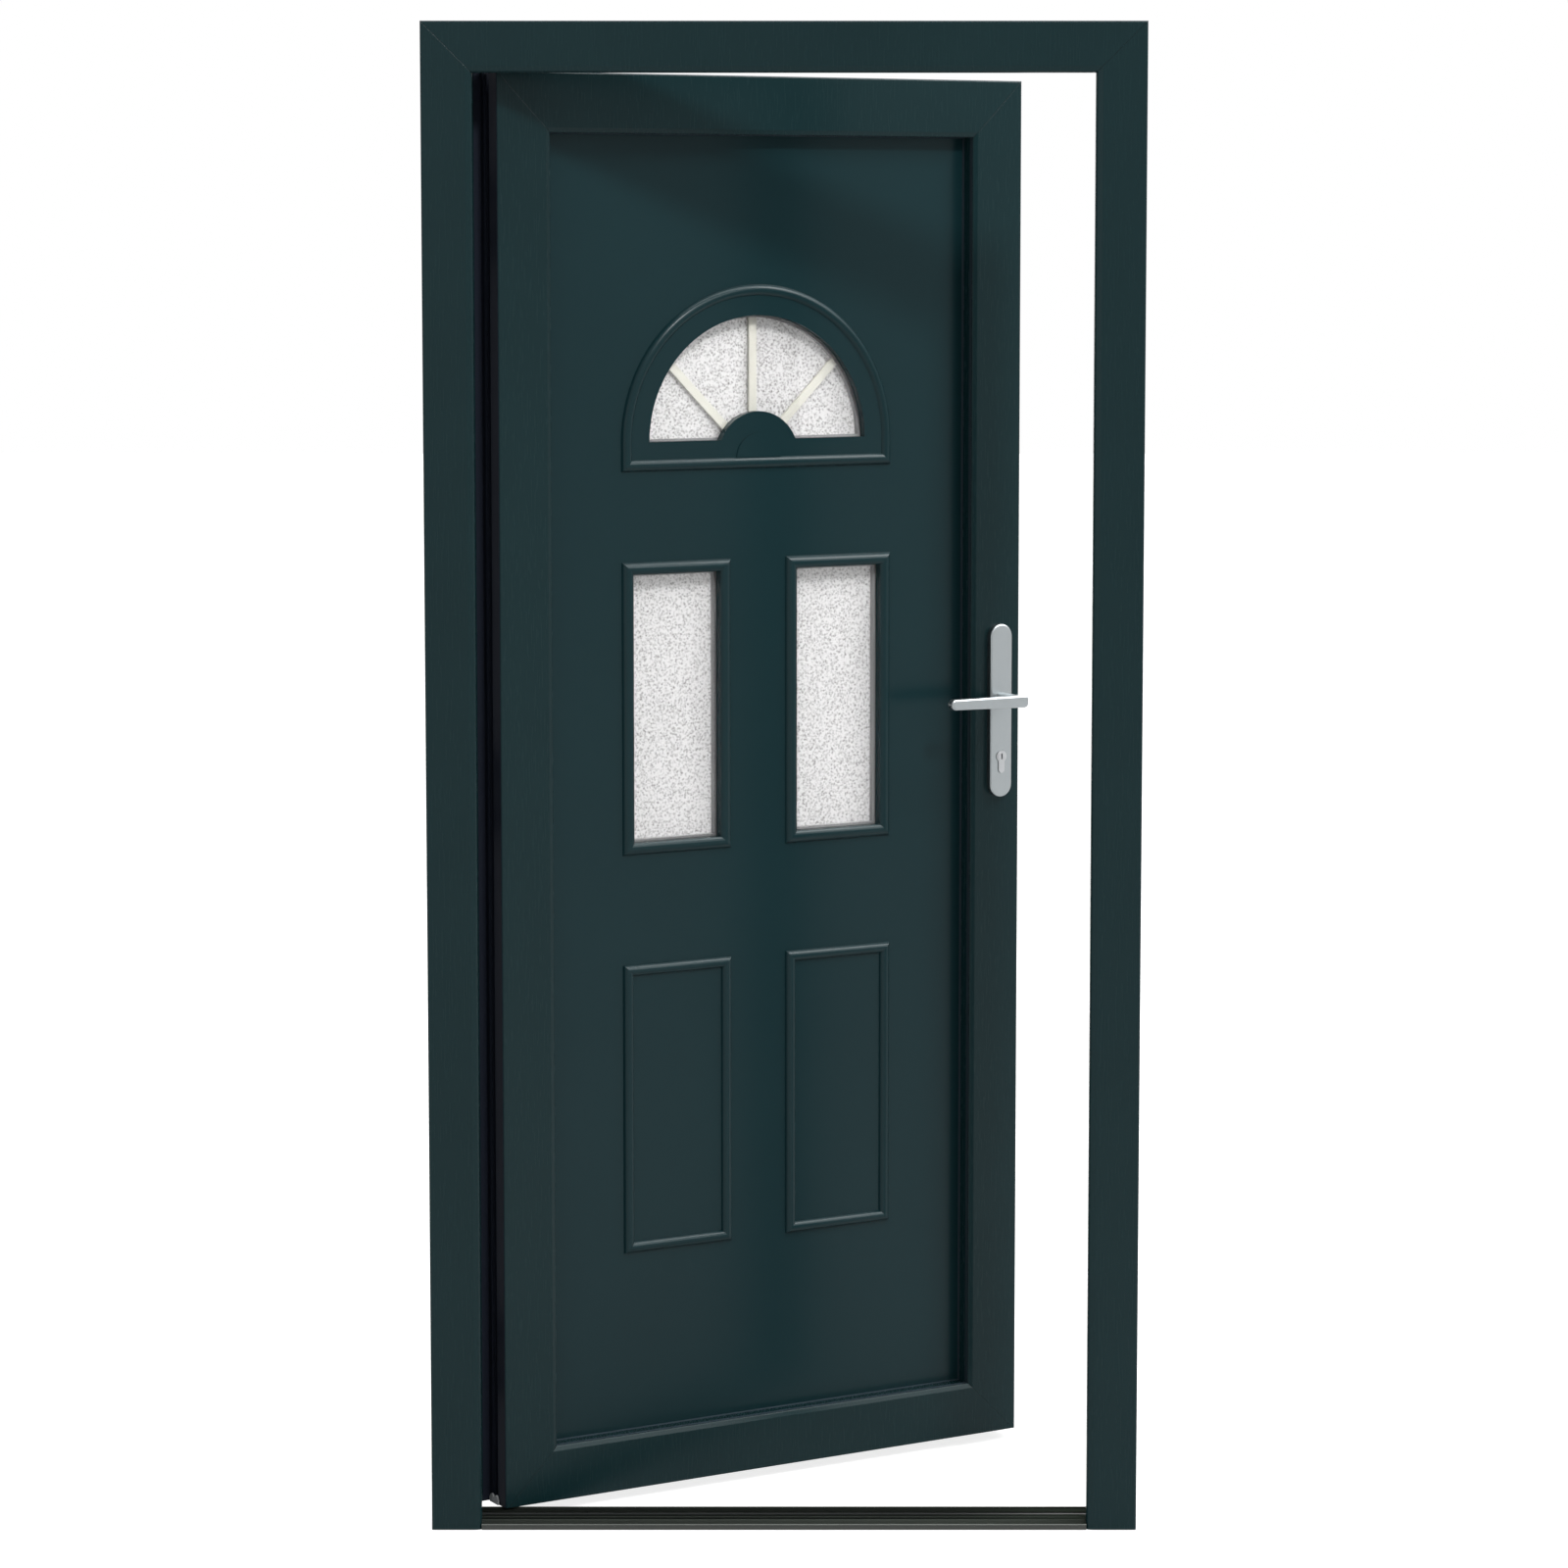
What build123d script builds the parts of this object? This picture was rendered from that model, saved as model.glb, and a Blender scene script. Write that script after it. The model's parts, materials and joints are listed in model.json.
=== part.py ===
from build123d import *
import os
from math import cos, radians, sin, sqrt

# Panelled front door with its frame, stored with the leaf standing ajar.
# X runs to the right as seen from outside, Y into the house and Z up.
# The origin is on the floor, at the middle of the frame's width and depth.

# Frame: a welded hollow profile, open at the foot and closed there by a low threshold
frame_width = 980.0
frame_height = 2080.0
frame_depth = 70.0
frame_face = 69.0
lip_height = 16.0
lip_depth = 20.0
profile_wall = 3.0
wall_recess = 4.0
frame_slope = 9.0
front_chamber = 12.0
seal_groove_width = 2.4
seal_groove_depth = 3.6

# Threshold: two aluminium rails on a plastic thermal break
threshold_height = 12.0
nose_height = 8.0
outer_rail_depth = 35.0
break_width = 11.5
end_pad = 3.0

# Leaf: the same kind of profile; the flange on its two stiles laps the jambs on the inside
lap_outside = 4.0
leaf_depth = 70.0
gasket_space = 4.5
leaf_face = 75.0
leaf_slope = 7.0
leaf_slope_drop = 2.2
flange_width = 20.0
flange_depth = 20.0
upstand_depth = 26.0
panel_bite = 20.0
foot_trim = 4.0
foot_gap = 3.0
groove_width = 12.0
groove_depth = 12.0
groove_centre = 32.0
face_seat_width = 16.0
face_seat_depth = 3.0

# Steel tubes in the main chambers
steel_wall = 1.5
steel_clearance = 0.4
steel_setback = 12.0
steel_foot = 30.0

# Panel insert
outer_seal = 4.0
inner_seal = 2.5
panel_thickness = 28.0
skin = 2.0
panel_edge_room = 5.0
bead_width = 16.0
bead_height = 7.0
light_frame_width = 17.5
light_frame_edge = 3.4
light_frame_leg = 4.0
moulding_width = 175.0
moulding_height = 415.0
moulding_pitch = 265.0
window_below_fan = 168.0
lower_below_window = 571.5

# Half-round light over the windows
fan_radius = 220.0
fan_band = 28.0
fan_band_height = 2.5
fan_below_top = 511.0
fan_drop = 41.0
hub_radius = 66.0
hub_drop = 26.0
hub_boss_radius = 36.0
hub_boss_height = 1.5
bar_width = 12.0
bar_thickness = 5.0

# Sealed glass units
pane = 4.0
cavity = 8.0
glass_setback = 10.0
spacer_width = 7.0
tape = 0.3

# Hinges
open_angle = 30.0
hinge_edge = 30.0
barrel_radius = 8.5
pin_radius = 5.0
hinge_from_end = 200.0
hinge_height = 110.0
hinge_screw_pitch = 38.0
leaf_knuckle = 44.0
knuckle_gap = 0.4
hinge_plate = 4.0
running_gap = 0.05

# Handle, cylinder and lock
backset = 36.5
lever_z = 1116.0
cylinder_pitch = 85.0
plate_width = 37.0
plate_top = 1226.0
plate_bottom = 971.0
plate_thickness = 10.0
lever_length = 117.0
lever_overrun = 15.0
lever_height = 18.0
lever_tip_height = 15.5
lever_thickness = 11.0
lever_standoff = 50.0
neck_radius = 9.5
spindle_size = 8.0
euro_radius = 8.5
euro_tail = 24.5
euro_width = 10.0
plug_radius = 6.5
cam_radius = 15.0
cam_width = 10.0
cylinder_proud = 1.5
faceplate_width = 15.6
faceplate_thickness = 2.6
faceplate_from_foot = 235.0
faceplate_from_top = 165.0
faceplate_screw_inset = 30.0
case_low = 1000.0
case_high = 1186.0
case_depth = 50.0
case_thickness = 14.8
latch_z = 1146.0
latch_height = 20.0
latch_width = 11.0
latch_throw = 12.0
bolt_z = 1070.0
bolt_height = 28.0
bolt_width = 10.0
bolt_throw = 18.0
bolt_length = 31.0
hook_from_foot = 465.0
hook_from_top = 395.0
hook_thickness = 6.0
hook_pivot_depth = 15.0
hook_reach = 31.0
hook_nose = 8.0
hook_arm = 12.0
hook_case_depth = 34.0
hook_case_half = 45.0
hook_case_thickness = 11.6
rod_width = 8.0
rod_thickness = 3.0
rod_travel = 18.0
sliding_gap = 0.3

# Keeps and fixings
keep_thickness = 7.0
keep_width = 24.0
screw_radius = 2.1
screw_head = 4.0
screw_length = 26.0
fixing_radius = 4.0
fixing_count = 4
fixing_from_end = 140.0

# Places that follow from the sizes above
half_width = frame_width / 2
front = -frame_depth / 2
back = frame_depth / 2
body_face = frame_face - lip_height
fixing_pitch = (frame_height - 2 * fixing_from_end) / (fixing_count - 1)
leaf_width = frame_width - 2 * (frame_face - lap_outside)
leaf_top = frame_height - frame_face + lap_outside
leaf_bottom = threshold_height + foot_gap
leaf_reference = leaf_bottom - foot_trim
leaf_gap = lip_height - lap_outside
fan_centre_z = leaf_top - fan_below_top
window_top = fan_centre_z - window_below_fan
lower_top = window_top - lower_below_window
hinge_heights = (leaf_bottom + hinge_from_end, (leaf_bottom + leaf_top) / 2, leaf_top - hinge_from_end)
hook_heights = (leaf_bottom + hook_from_foot, leaf_top - hook_from_top)
faceplate_low = leaf_bottom + faceplate_from_foot
faceplate_high = leaf_top - faceplate_from_top
upstand_edge = leaf_face + leaf_slope
rebate_floor = upstand_edge - panel_bite
panel_face = upstand_depth + outer_seal
panel_back = panel_face + panel_thickness
bead_seat = panel_back + inner_seal
glass_front = panel_face + glass_setback
glass_back = glass_front + 2 * pane + cavity
flange_front = leaf_depth - flange_depth
leaf_middle = leaf_width / 2
spindle_x = leaf_width - backset
cylinder_z = lever_z - cylinder_pitch
seat_x = leaf_width - face_seat_depth
faceplate_x = seat_x + 0.1
pivot_x = leaf_width - hook_pivot_depth
hinge_x = -half_width + hinge_edge
hinge_y = front + lip_depth + gasket_space + leaf_depth + barrel_radius
leaf_x = -leaf_width / 2
leaf_y = front + lip_depth + gasket_space
axis_x = hinge_x - leaf_x
axis_y = hinge_y - leaf_y
leaf_at = Pos(hinge_x, hinge_y, 0) * Rot(0, 0, open_angle) * Pos(-axis_x, -axis_y, 0)


# Small builders

def span(x0, x1, y0, y1):
    return Pos((x0 + x1) / 2, (y0 + y1) / 2) * Rectangle(abs(x1 - x0), abs(y1 - y0))


def block(x0, x1, y0, y1, z0, z1):
    middle = Pos((x0 + x1) / 2, (y0 + y1) / 2, (z0 + z1) / 2)
    return middle * Box(abs(x1 - x0), abs(y1 - y0), abs(z1 - z0))


def outline(*points):
    """A face from its corners; a corner that repeats the one before it is dropped."""
    kept = []
    for point in points:
        if not kept or sqrt((point[0] - kept[-1][0]) ** 2 + (point[1] - kept[-1][1]) ** 2) > 1e-6:
            kept.append(point)
    return make_face(Polyline(*kept, close=True))


def rod_x(radius, x0, x1, y, z):
    return Pos((x0 + x1) / 2, y, z) * Rot(0, 90, 0) * Cylinder(radius, abs(x1 - x0))


def rod_y(radius, x, y0, y1, z):
    return Pos(x, (y0 + y1) / 2, z) * Rot(90, 0, 0) * Cylinder(radius, abs(y1 - y0))


def rod_z(radius, x, y, z0, z1):
    return Pos(x, y, (z0 + z1) / 2) * Cylinder(radius, abs(z1 - z0))


def front_view(face, y0, y1):
    """Carry a face drawn in X and Z from one depth to another."""
    return extrude(Plane((0, y1, 0), x_dir=(1, 0, 0), z_dir=(0, -1, 0)) * face, amount=y1 - y0)


def member(section, side, left, right, low, high, y0, square_foot=False):
    """Run a section along one side of a rectangle and mitre its ends.

    The section's x is the distance in from that side and its y the depth from y0.
    """
    reach, bite = 60.0, 130.0
    planes = {
        "left": Plane((left, y0, low - reach), x_dir=(1, 0, 0), z_dir=(0, 0, 1)),
        "right": Plane((right, y0, high + reach), x_dir=(-1, 0, 0), z_dir=(0, 0, -1)),
        "top": Plane((left - reach, y0, high), x_dir=(0, 0, -1), z_dir=(1, 0, 0)),
        "foot": Plane((right + reach, y0, low), x_dir=(0, 0, 1), z_dir=(-1, 0, 0)),
    }
    tall = side in ("left", "right")
    length = (high - low if tall else right - left) + 2 * reach
    bar = extrude(planes[side] * section, amount=length)
    bite = min(bite, (high - low) / 2, (right - left) / 2)
    edge, inward = {"left": (left, 1), "right": (right, -1), "top": (high, -1), "foot": (low, 1)}[side]
    outer, inner = edge - inward * reach, edge + inward * bite
    if tall:
        foot = (low, low) if square_foot else (low - reach, low + bite)
        corners = [(outer, foot[0]), (inner, foot[1]), (inner, high - bite), (outer, high + reach)]
    else:
        corners = [(left - reach, outer), (left + bite, inner), (right - bite, inner), (right + reach, outer)]
    return bar & front_view(outline(*corners), y0 - 200, y0 + 200)


def ring(section, left, right, low, high, y0):
    """Four mitred lengths of one section, joined into a closed frame."""
    sides = [member(section, side, left, right, low, high, y0) for side in ("left", "right", "top", "foot")]
    return sides[0] + sides[1:]


def frame_part(shape):
    return shape


def leaf_part(shape):
    return leaf_at * shape


# Frame: two jambs and a head

def frame_section():
    slope = frame_face - frame_slope
    wall = profile_wall
    near = front_chamber + wall
    far = frame_depth - near
    shape = outline(
        (1.5, 0), (slope, 0), (frame_face - 2, 1.6), (frame_face, 4), (frame_face, lip_depth - 2),
        (frame_face - 2, lip_depth), (body_face, lip_depth), (body_face, frame_depth - 1),
        (body_face - 1, frame_depth), (1, frame_depth), (0, frame_depth - 1), (0, far + 2),
        (wall_recess, far), (wall_recess, near), (0, near - 2), (0, 1.5))
    web = body_face - wall
    shape -= span(wall, web - wall, wall, front_chamber)
    shape -= span(web, frame_face - wall, wall, front_chamber)
    shape -= frame_chamber()
    shape -= span(wall, web, frame_depth - front_chamber, frame_depth - wall)
    return shape - frame_gasket_groove()


def frame_chamber():
    near = front_chamber + profile_wall
    return span(wall_recess + profile_wall, body_face - profile_wall, near, frame_depth - near)


def frame_gasket_groove():
    edge = frame_face - 7
    return span(edge, edge + seal_groove_width, lip_depth - seal_groove_depth, lip_depth)


def steel_section(chamber):
    box = chamber.bounding_box()
    wide, deep = box.size.X - 2 * steel_clearance, box.size.Y - 2 * steel_clearance
    tube = Rectangle(wide, deep) - Rectangle(wide - 2 * steel_wall, deep - 2 * steel_wall)
    return Pos(box.center().X, box.center().Y) * tube


def frame_member(side, section):
    tall = side != "top"
    return member(section, side, -half_width, half_width, 0, frame_height, front, square_foot=tall)


def fixing_heights():
    return [fixing_from_end + fixing_pitch * step for step in range(fixing_count)]


def fixing_holes():
    holes = [rod_x(fixing_radius, -half_width - 5, half_width + 5, 0, z) for z in fixing_heights()]
    return holes[0] + holes[1:]


def keep_pockets(grow=0.0):
    """Room in the lock-side jamb and its steel for everything that the lock throws."""
    middle = leaf_y + groove_centre
    deep = half_width - body_face + 22
    half = 6.5 + grow
    pockets = [block(half_width - body_face - 1, deep, middle - half, middle + half, low - grow, high + grow)
               for low, high in keep_spans()]
    return pockets[0] + pockets[1:]


def keep_spans():
    hook_low, hook_high = hook_reach + 3, hook_arm / 2 + hook_nose + 3
    spans = [(latch_z - latch_height / 2 - 1.5, latch_z + latch_height / 2 + 1.5),
             (bolt_z - bolt_height / 2 - 1.5, bolt_z + bolt_height / 2 + 1.5)]
    return spans + [(z - hook_low, z + hook_high) for z in hook_heights]


def jamb(side):
    body = frame_member(side, frame_section())
    body -= fixing_holes()
    if side == "right":
        body -= keep_pockets()
    return body


def frame_steels():
    """One tube in each jamb and one in the head, cut short of the welded corners."""
    section = steel_section(frame_chamber())
    end = body_face + steel_setback
    room = block(-frame_width, frame_width, front, back, steel_foot, frame_height - end)
    parts = []
    for side in ("left", "right"):
        tube = frame_member(side, section) & room
        tube -= fixing_holes()
        if side == "right":
            tube -= keep_pockets(0.5)
        parts.append(tube)
    head = frame_member("top", section)
    parts.append(head & block(-half_width + end, half_width - end, front, back, 0, frame_height))
    return parts


def frame_gasket():
    edge = frame_face
    seal = outline((edge - 6.8, lip_depth - 3.4), (edge - 4.8, lip_depth - 3.4), (edge - 4.8, lip_depth),
                   (edge - 1.5, lip_depth), (edge - 0.8, lip_depth + 2.2), (edge - 2.4, lip_depth + gasket_space - 0.3),
                   (edge - 6, lip_depth + 2), (edge - 7.4, lip_depth), (edge - 6.8, lip_depth))
    sides = [frame_member(side, seal) for side in ("left", "top", "right")]
    low = block(-half_width, half_width, front, back, threshold_height + 2, frame_height)
    return [(sides[0] + sides[1:]) & low]


# Threshold

def threshold_profiles():
    top = threshold_height
    split = outer_rail_depth
    far = split + break_width
    outer = outline((0, 0), (0, nose_height - 1), (1, nose_height), (9, top - 0.7), (10, top), (21.5, top),
                    (22, top - 0.9), (23, top - 0.9), (23.5, top), (split, top), (split, 4), (split - 5, 4),
                    (split - 5, 0))
    outer -= outline((2, 2), (2, 5), (9.5, 9), (split - 2, 9.5), (split - 2, 6), (split - 7, 6), (split - 7, 2))
    middle = outline((split - 5, 0), (split - 5, 4), (split, 4), (split, top - 1.2), (far, top - 1.2), (far, 4),
                     (far + 3.5, 4), (far + 3.5, 0))
    inner = outline((far + 3.5, 0), (far + 3.5, 4), (far, 4), (far, top), (62, top + 0.4), (62.5, top - 1.6),
                    (66.5, top - 1.6), (67, top + 1), (frame_depth - 0.6, top + 1), (frame_depth, top + 0.4),
                    (frame_depth, 0))
    inner -= outline((far + 5.5, 2), (far + 5.5, 6), (far + 2, 6), (far + 2, 9.5), (60, 9.5), (62, 8), (68, 8),
                     (68, 2))
    return outer, middle, inner


def threshold(section):
    """Lay a rail across the doorway, cut round the lips of the two jambs."""
    plane = Plane((-half_width, front, 0), x_dir=(0, 1, 0), z_dir=(1, 0, 0))
    rail = extrude(plane * section, amount=frame_width)
    end = half_width - body_face - end_pad
    lip = half_width - frame_face
    room = block(-end, end, front + lip_depth + 0.1, back, 0, 40)
    return rail & (room + block(-lip + 0.1, lip - 0.1, front, back, 0, 40))


def threshold_pads():
    """Soft pads that close the ends of the threshold against the jambs."""
    parts = []
    for side in (-1, 1):
        inner, outer = half_width - body_face - end_pad, half_width - body_face
        parts.append(block(side * inner, side * outer, front + lip_depth + 0.1, back, 0, threshold_height))
    return parts


# Leaf: two stiles and two rails

def leaf_section():
    wall = profile_wall
    groove = (groove_centre - groove_width / 2, groove_centre + groove_width / 2)
    seat = (groove_centre - face_seat_width / 2, groove_centre + face_seat_width / 2)
    shape = outline(
        (1.5, 0), (leaf_face, 0), (upstand_edge - 0.8, leaf_slope_drop), (upstand_edge, leaf_slope_drop + 1),
        (upstand_edge, upstand_depth), (rebate_floor, upstand_depth), (rebate_floor, leaf_depth),
        (1 - flange_width, leaf_depth), (-flange_width, leaf_depth - 1), (-flange_width, flange_front),
        (0, flange_front), (0, seat[1]), (face_seat_depth, seat[1]), (face_seat_depth, groove[1]),
        (groove_depth, groove[1]), (groove_depth, groove[0]), (face_seat_depth, groove[0]),
        (face_seat_depth, seat[0]), (0, seat[0]), (0, 1.5))
    shape -= span(wall, leaf_face - wall, wall, front_chamber)
    shape -= span(leaf_face - 10, upstand_edge - wall, front_chamber + wall, upstand_depth - wall)
    shape -= leaf_chamber()
    shape -= span(wall, groove_depth, front_chamber + wall, seat[0] - wall)
    shape -= span(wall, rebate_floor - wall, leaf_depth - front_chamber, leaf_depth - wall)
    shape -= flange_groove()
    return shape - reveal_groove()


def leaf_chamber():
    near = front_chamber + profile_wall
    return span(groove_depth + profile_wall, rebate_floor - profile_wall, near, leaf_depth - near)


def flange_groove():
    edge = 3 - flange_width
    return span(edge, edge + seal_groove_width, flange_front, flange_front + seal_groove_depth)


def reveal_groove():
    return span(upstand_edge - 2, upstand_edge, 4.2, 11)


def leaf_member(side, section):
    """One length of the leaf, trimmed flush at its foot and at its top, so no flange stands above the leaf."""
    bar = member(section, side, 0, leaf_width, leaf_reference, leaf_top, 0)
    return bar & block(-60, leaf_width + 60, -20, 120, leaf_bottom, leaf_top)


def flange_chamber(side):
    """Hollow of a stile's flange, closed at the top of the leaf."""
    reach = flange_width - profile_wall
    near, far = (-reach, 0) if side == "left" else (leaf_width, leaf_width + reach)
    return block(near, far, flange_front + seal_groove_depth + profile_wall, leaf_depth - profile_wall,
                 leaf_bottom - 1, leaf_top - profile_wall)


def case_pocket():
    half = face_seat_width / 2
    return block(leaf_width - case_depth - 5, leaf_width + 1, groove_centre - half, groove_centre + half,
                 case_low - 5, case_high + 5)


def hook_pockets():
    half = groove_width / 2
    cuts = [block(leaf_width - hook_case_depth - 4, leaf_width + 1, groove_centre - half, groove_centre + half,
                  z - hook_case_half - 3, z + hook_case_half + 3) for z in hook_heights]
    return cuts[0] + cuts[1:]


def euro_face(grow=0.0):
    tail = span(-euro_width / 2 - grow, euro_width / 2 + grow, -euro_tail + euro_width / 2, 0)
    foot = Pos(0, -euro_tail + euro_width / 2) * Circle(euro_width / 2 + grow)
    return Pos(spindle_x, cylinder_z) * (Circle(euro_radius + grow) + tail + foot)


def handle_bores(grow):
    """Holes through the lock-side stile for the spindle, the cylinder and the two plate screws."""
    cuts = front_view(euro_face(grow), -5, leaf_depth + 5)
    cuts += rod_y(neck_radius + grow, spindle_x, -5, leaf_depth + 5, lever_z)
    for z in plate_screw_heights():
        cuts += rod_y(screw_radius + grow, spindle_x, -5, leaf_depth + 5, z)
    return cuts


def plate_screw_heights():
    return plate_bottom + plate_width / 2 - 1, plate_top - plate_width / 2 + 1


def stile(side, section):
    body = leaf_member(side, section) - flange_chamber(side)
    if side == "right":
        body -= case_pocket()
        body -= hook_pockets()
        body -= handle_bores(0.5)
    return body


def leaf_steels(sides):
    section = steel_section(leaf_chamber())
    end = rebate_floor + steel_setback
    room = block(end, leaf_width - end, 0, leaf_depth, 0, leaf_top)
    if "left" in sides:
        room = block(0, leaf_width, 0, leaf_depth, leaf_bottom + end, leaf_top - end)
    return [stile(side, section) & room for side in sides]


def leaf_gasket():
    """Bulb seals on the flanges of the two stiles, which close on the jambs' inner faces."""
    edge = -flange_width
    seal = outline((edge + 3.2, flange_front + 3.4), (edge + 5.2, flange_front + 3.4), (edge + 5.2, flange_front),
                   (edge + 7, flange_front), (edge + 6.4, flange_front - 2.4),
                   (edge + 4, flange_front - gasket_space + 0.3), (edge + 1.6, flange_front - 2.4),
                   (edge + 1, flange_front), (edge + 3.2, flange_front))
    return [leaf_member(side, seal) for side in ("left", "right")]


def panel_gaskets():
    """Dark strip in the reveal, and the seals on the two faces of the panel."""
    edge = upstand_edge
    strip = span(edge - 1.8, edge + 0.3, 4.4, 10.8)
    outer = outline((edge - 9, upstand_depth), (edge + 0.2, upstand_depth), (edge + 1.2, panel_face),
                    (edge - 9, panel_face))
    inner = span(edge - 9, edge + 2.6, panel_back, bead_seat)
    return [ring(section, 0, leaf_width, leaf_reference, leaf_top, 0) for section in (strip, outer, inner)]


def bottom_seal():
    """Low blade under the bottom rail, just clear of the threshold."""
    foot = block(2, leaf_width - 2, 46, 54, leaf_bottom - 0.6, leaf_bottom)
    return [foot + block(2, leaf_width - 2, 49, 51, leaf_bottom - 1.4, leaf_bottom)]


def glazing_beads(sides):
    seat = rebate_floor
    tip = upstand_edge + 2
    section = outline((seat, bead_seat), (tip, bead_seat), (tip, bead_seat + 2.5), (tip - 5.5, leaf_depth),
                      (seat, leaf_depth))
    section -= outline((seat + 2.5, bead_seat + 2), (tip - 3, bead_seat + 2), (tip - 6.5, leaf_depth - 2),
                       (seat + 2.5, leaf_depth - 2))
    return [member(section, side, 0, leaf_width, leaf_reference, leaf_top, 0) for side in sides]


def corner_blocks():
    """Grey sealing blocks in the foot of the groove, with two low humps."""
    parts = []
    for mirrored in (False, True):
        plug = block(-2.6, groove_depth - 0.5, groove_centre - 5.8, groove_centre + 5.8, leaf_bottom,
                     leaf_bottom + 8)
        pad = block(-2.6, -0.1, 20, flange_front - 4, leaf_bottom, leaf_bottom + 7)
        humps = [Pos(-1.35, y, leaf_bottom + 7) * Rot(0, 90, 0) * Cylinder(5.5, 2.5) for y in (26.5, 39.5)]
        part = (plug + pad + humps) & block(-5, 20, 0, 60, leaf_bottom, leaf_bottom + 20)
        if mirrored:
            part = Pos(leaf_width, 0, 0) * mirror(part, about=Plane.YZ)
        parts.append(part)
    return parts


# Panel insert, with its mouldings and lights

def moulding_rects(top):
    return [(leaf_middle + side * moulding_pitch / 2 - moulding_width / 2,
             leaf_middle + side * moulding_pitch / 2 + moulding_width / 2, top - moulding_height, top)
            for side in (-1, 1)]


def half_round(width, height, out, foot=0.0):
    """A bead on a face at y = 0 that stands out towards out (-1 outside, 1 inside)."""
    arc = ThreePointArc((0, 0), (width / 2, out * height), (width, 0))
    if foot:
        return make_face(arc + Polyline((width, 0), (width, -out * foot), (0, -out * foot), (0, 0)))
    return make_face(arc + Line((width, 0), (0, 0)))


def inset(rect, by):
    left, right, low, high = rect
    return left + by, right - by, low + by, high - by


def raised_mouldings(face, out, thinner=0.0, foot=0.5):
    """The two plain mouldings pressed into a skin, or the hollow under them."""
    section = half_round(bead_width - 2 * thinner, bead_height - thinner, out, foot)
    rings = [ring(section, *inset(rect, thinner), face) for rect in moulding_rects(lower_top)]
    return rings[0] + rings[1]


def light_openings():
    """Cut-outs in the panel for the two windows and the fanlight, drawn in X and Z."""
    cut = light_frame_width - light_frame_leg - tape
    shapes = [span(*inset(rect, cut)) for rect in moulding_rects(window_top)]
    return shapes[0] + shapes[1] + half_moon(light_frame_leg + tape)


def half_moon(grow=0.0):
    """The fanlight's glass opening, without its hub, let out by grow."""
    radius = fan_radius - bead_width - fan_band + grow
    disc = Circle(radius) & span(-radius, radius, -grow, radius)
    return Pos(leaf_middle, fan_centre_z) * disc


def fan_opening(grow=0.0):
    hub = Pos(leaf_middle, fan_centre_z - hub_drop) * Circle(hub_radius - grow)
    return half_moon(grow) - hub


def panel_slab(y0, y1):
    edge = rebate_floor + panel_edge_room
    slab = block(edge, leaf_width - edge, y0, y1, leaf_reference + edge, leaf_top - edge)
    return slab - front_view(light_openings(), y0 - 1, y1 + 1)


def panel_core():
    core = panel_slab(panel_face + skin, panel_back - skin)
    core += raised_mouldings(panel_face + skin, -1, skin)
    return core + raised_mouldings(panel_back - skin, 1, skin)


def panel_skin(outside):
    face, out = (panel_face, -1) if outside else (panel_back, 1)
    inner = face - out * skin
    sheet = panel_slab(min(face, inner), max(face, inner)) + raised_mouldings(face, out)
    return sheet - raised_mouldings(inner, out, skin)


def window_frames(outside):
    """Frames that clamp the two window units: a bead with a leg down to the glass."""
    face, out = (panel_face, -1) if outside else (panel_back, 1)
    leg = (glass_front - face if outside else face - glass_back) - tape
    wide, inner = light_frame_width, light_frame_width - light_frame_leg
    arc = ThreePointArc((0, 0), (wide * 0.46, out * bead_height), (wide, out * light_frame_edge))
    rest = Polyline((wide, out * light_frame_edge), (wide, -out * leg), (inner, -out * leg), (inner, 0), (0, 0))
    section = make_face(arc + rest)
    return [ring(section, *rect, face) for rect in moulding_rects(window_top)]


def fan_bead(out):
    """Half-round bead round the fanlight: a bottom run, two short legs and a half circle."""
    band = out * fan_band_height
    arc = ThreePointArc((0, 0), (bead_width / 2, out * bead_height), (bead_width, band))
    section = make_face(arc + Polyline((bead_width, band), (bead_width, 0), (0, 0)))
    left, right = leaf_middle - fan_radius, leaf_middle + fan_radius
    low, high = fan_centre_z - fan_drop, fan_centre_z + fan_radius
    legs = [member(section, side, left, right, low, high, 0) for side in ("left", "right")]
    legs = [leg & block(left - 5, right + 5, -50, 50, low, fan_centre_z) for leg in legs]
    foot = member(section, "foot", left, right, low, high, 0)
    plane = Plane((right, 0, fan_centre_z), x_dir=(-1, 0, 0), z_dir=(0, 0, -1))
    arch = revolve(plane * section, Axis((leaf_middle, 0, fan_centre_z), (0, -1, 0)), 180)
    return foot + legs + arch


def fan_frame(outside):
    """Frame of the fanlight: bead, flat band, hub and the leg that reaches the glass."""
    face, out = (panel_face, -1) if outside else (panel_back, 1)
    leg = (glass_front - face if outside else face - glass_back) - tape
    inner = bead_width / 2
    arch = Circle(fan_radius - inner) & span(-fan_radius, fan_radius, 0, fan_radius)
    base = span(-fan_radius + inner, fan_radius - inner, -fan_drop + inner, 0)
    plate = Pos(leaf_middle, fan_centre_z) * (arch + base) - fan_opening()
    band = out * fan_band_height
    frame = front_view(plate, min(0, band), max(0, band)) + fan_bead(out)
    wall = fan_opening(light_frame_leg) - fan_opening()
    frame += front_view(wall, min(band, -out * leg), max(band, -out * leg))
    boss = Circle(hub_boss_radius) & span(-100, 100, bead_width - (fan_drop - hub_drop), 100)
    boss = Pos(leaf_middle, fan_centre_z - hub_drop) * boss
    crown = band + out * hub_boss_height
    frame += front_view(boss, min(band, crown), max(band, crown))
    return Pos(0, face, 0) * frame


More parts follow.
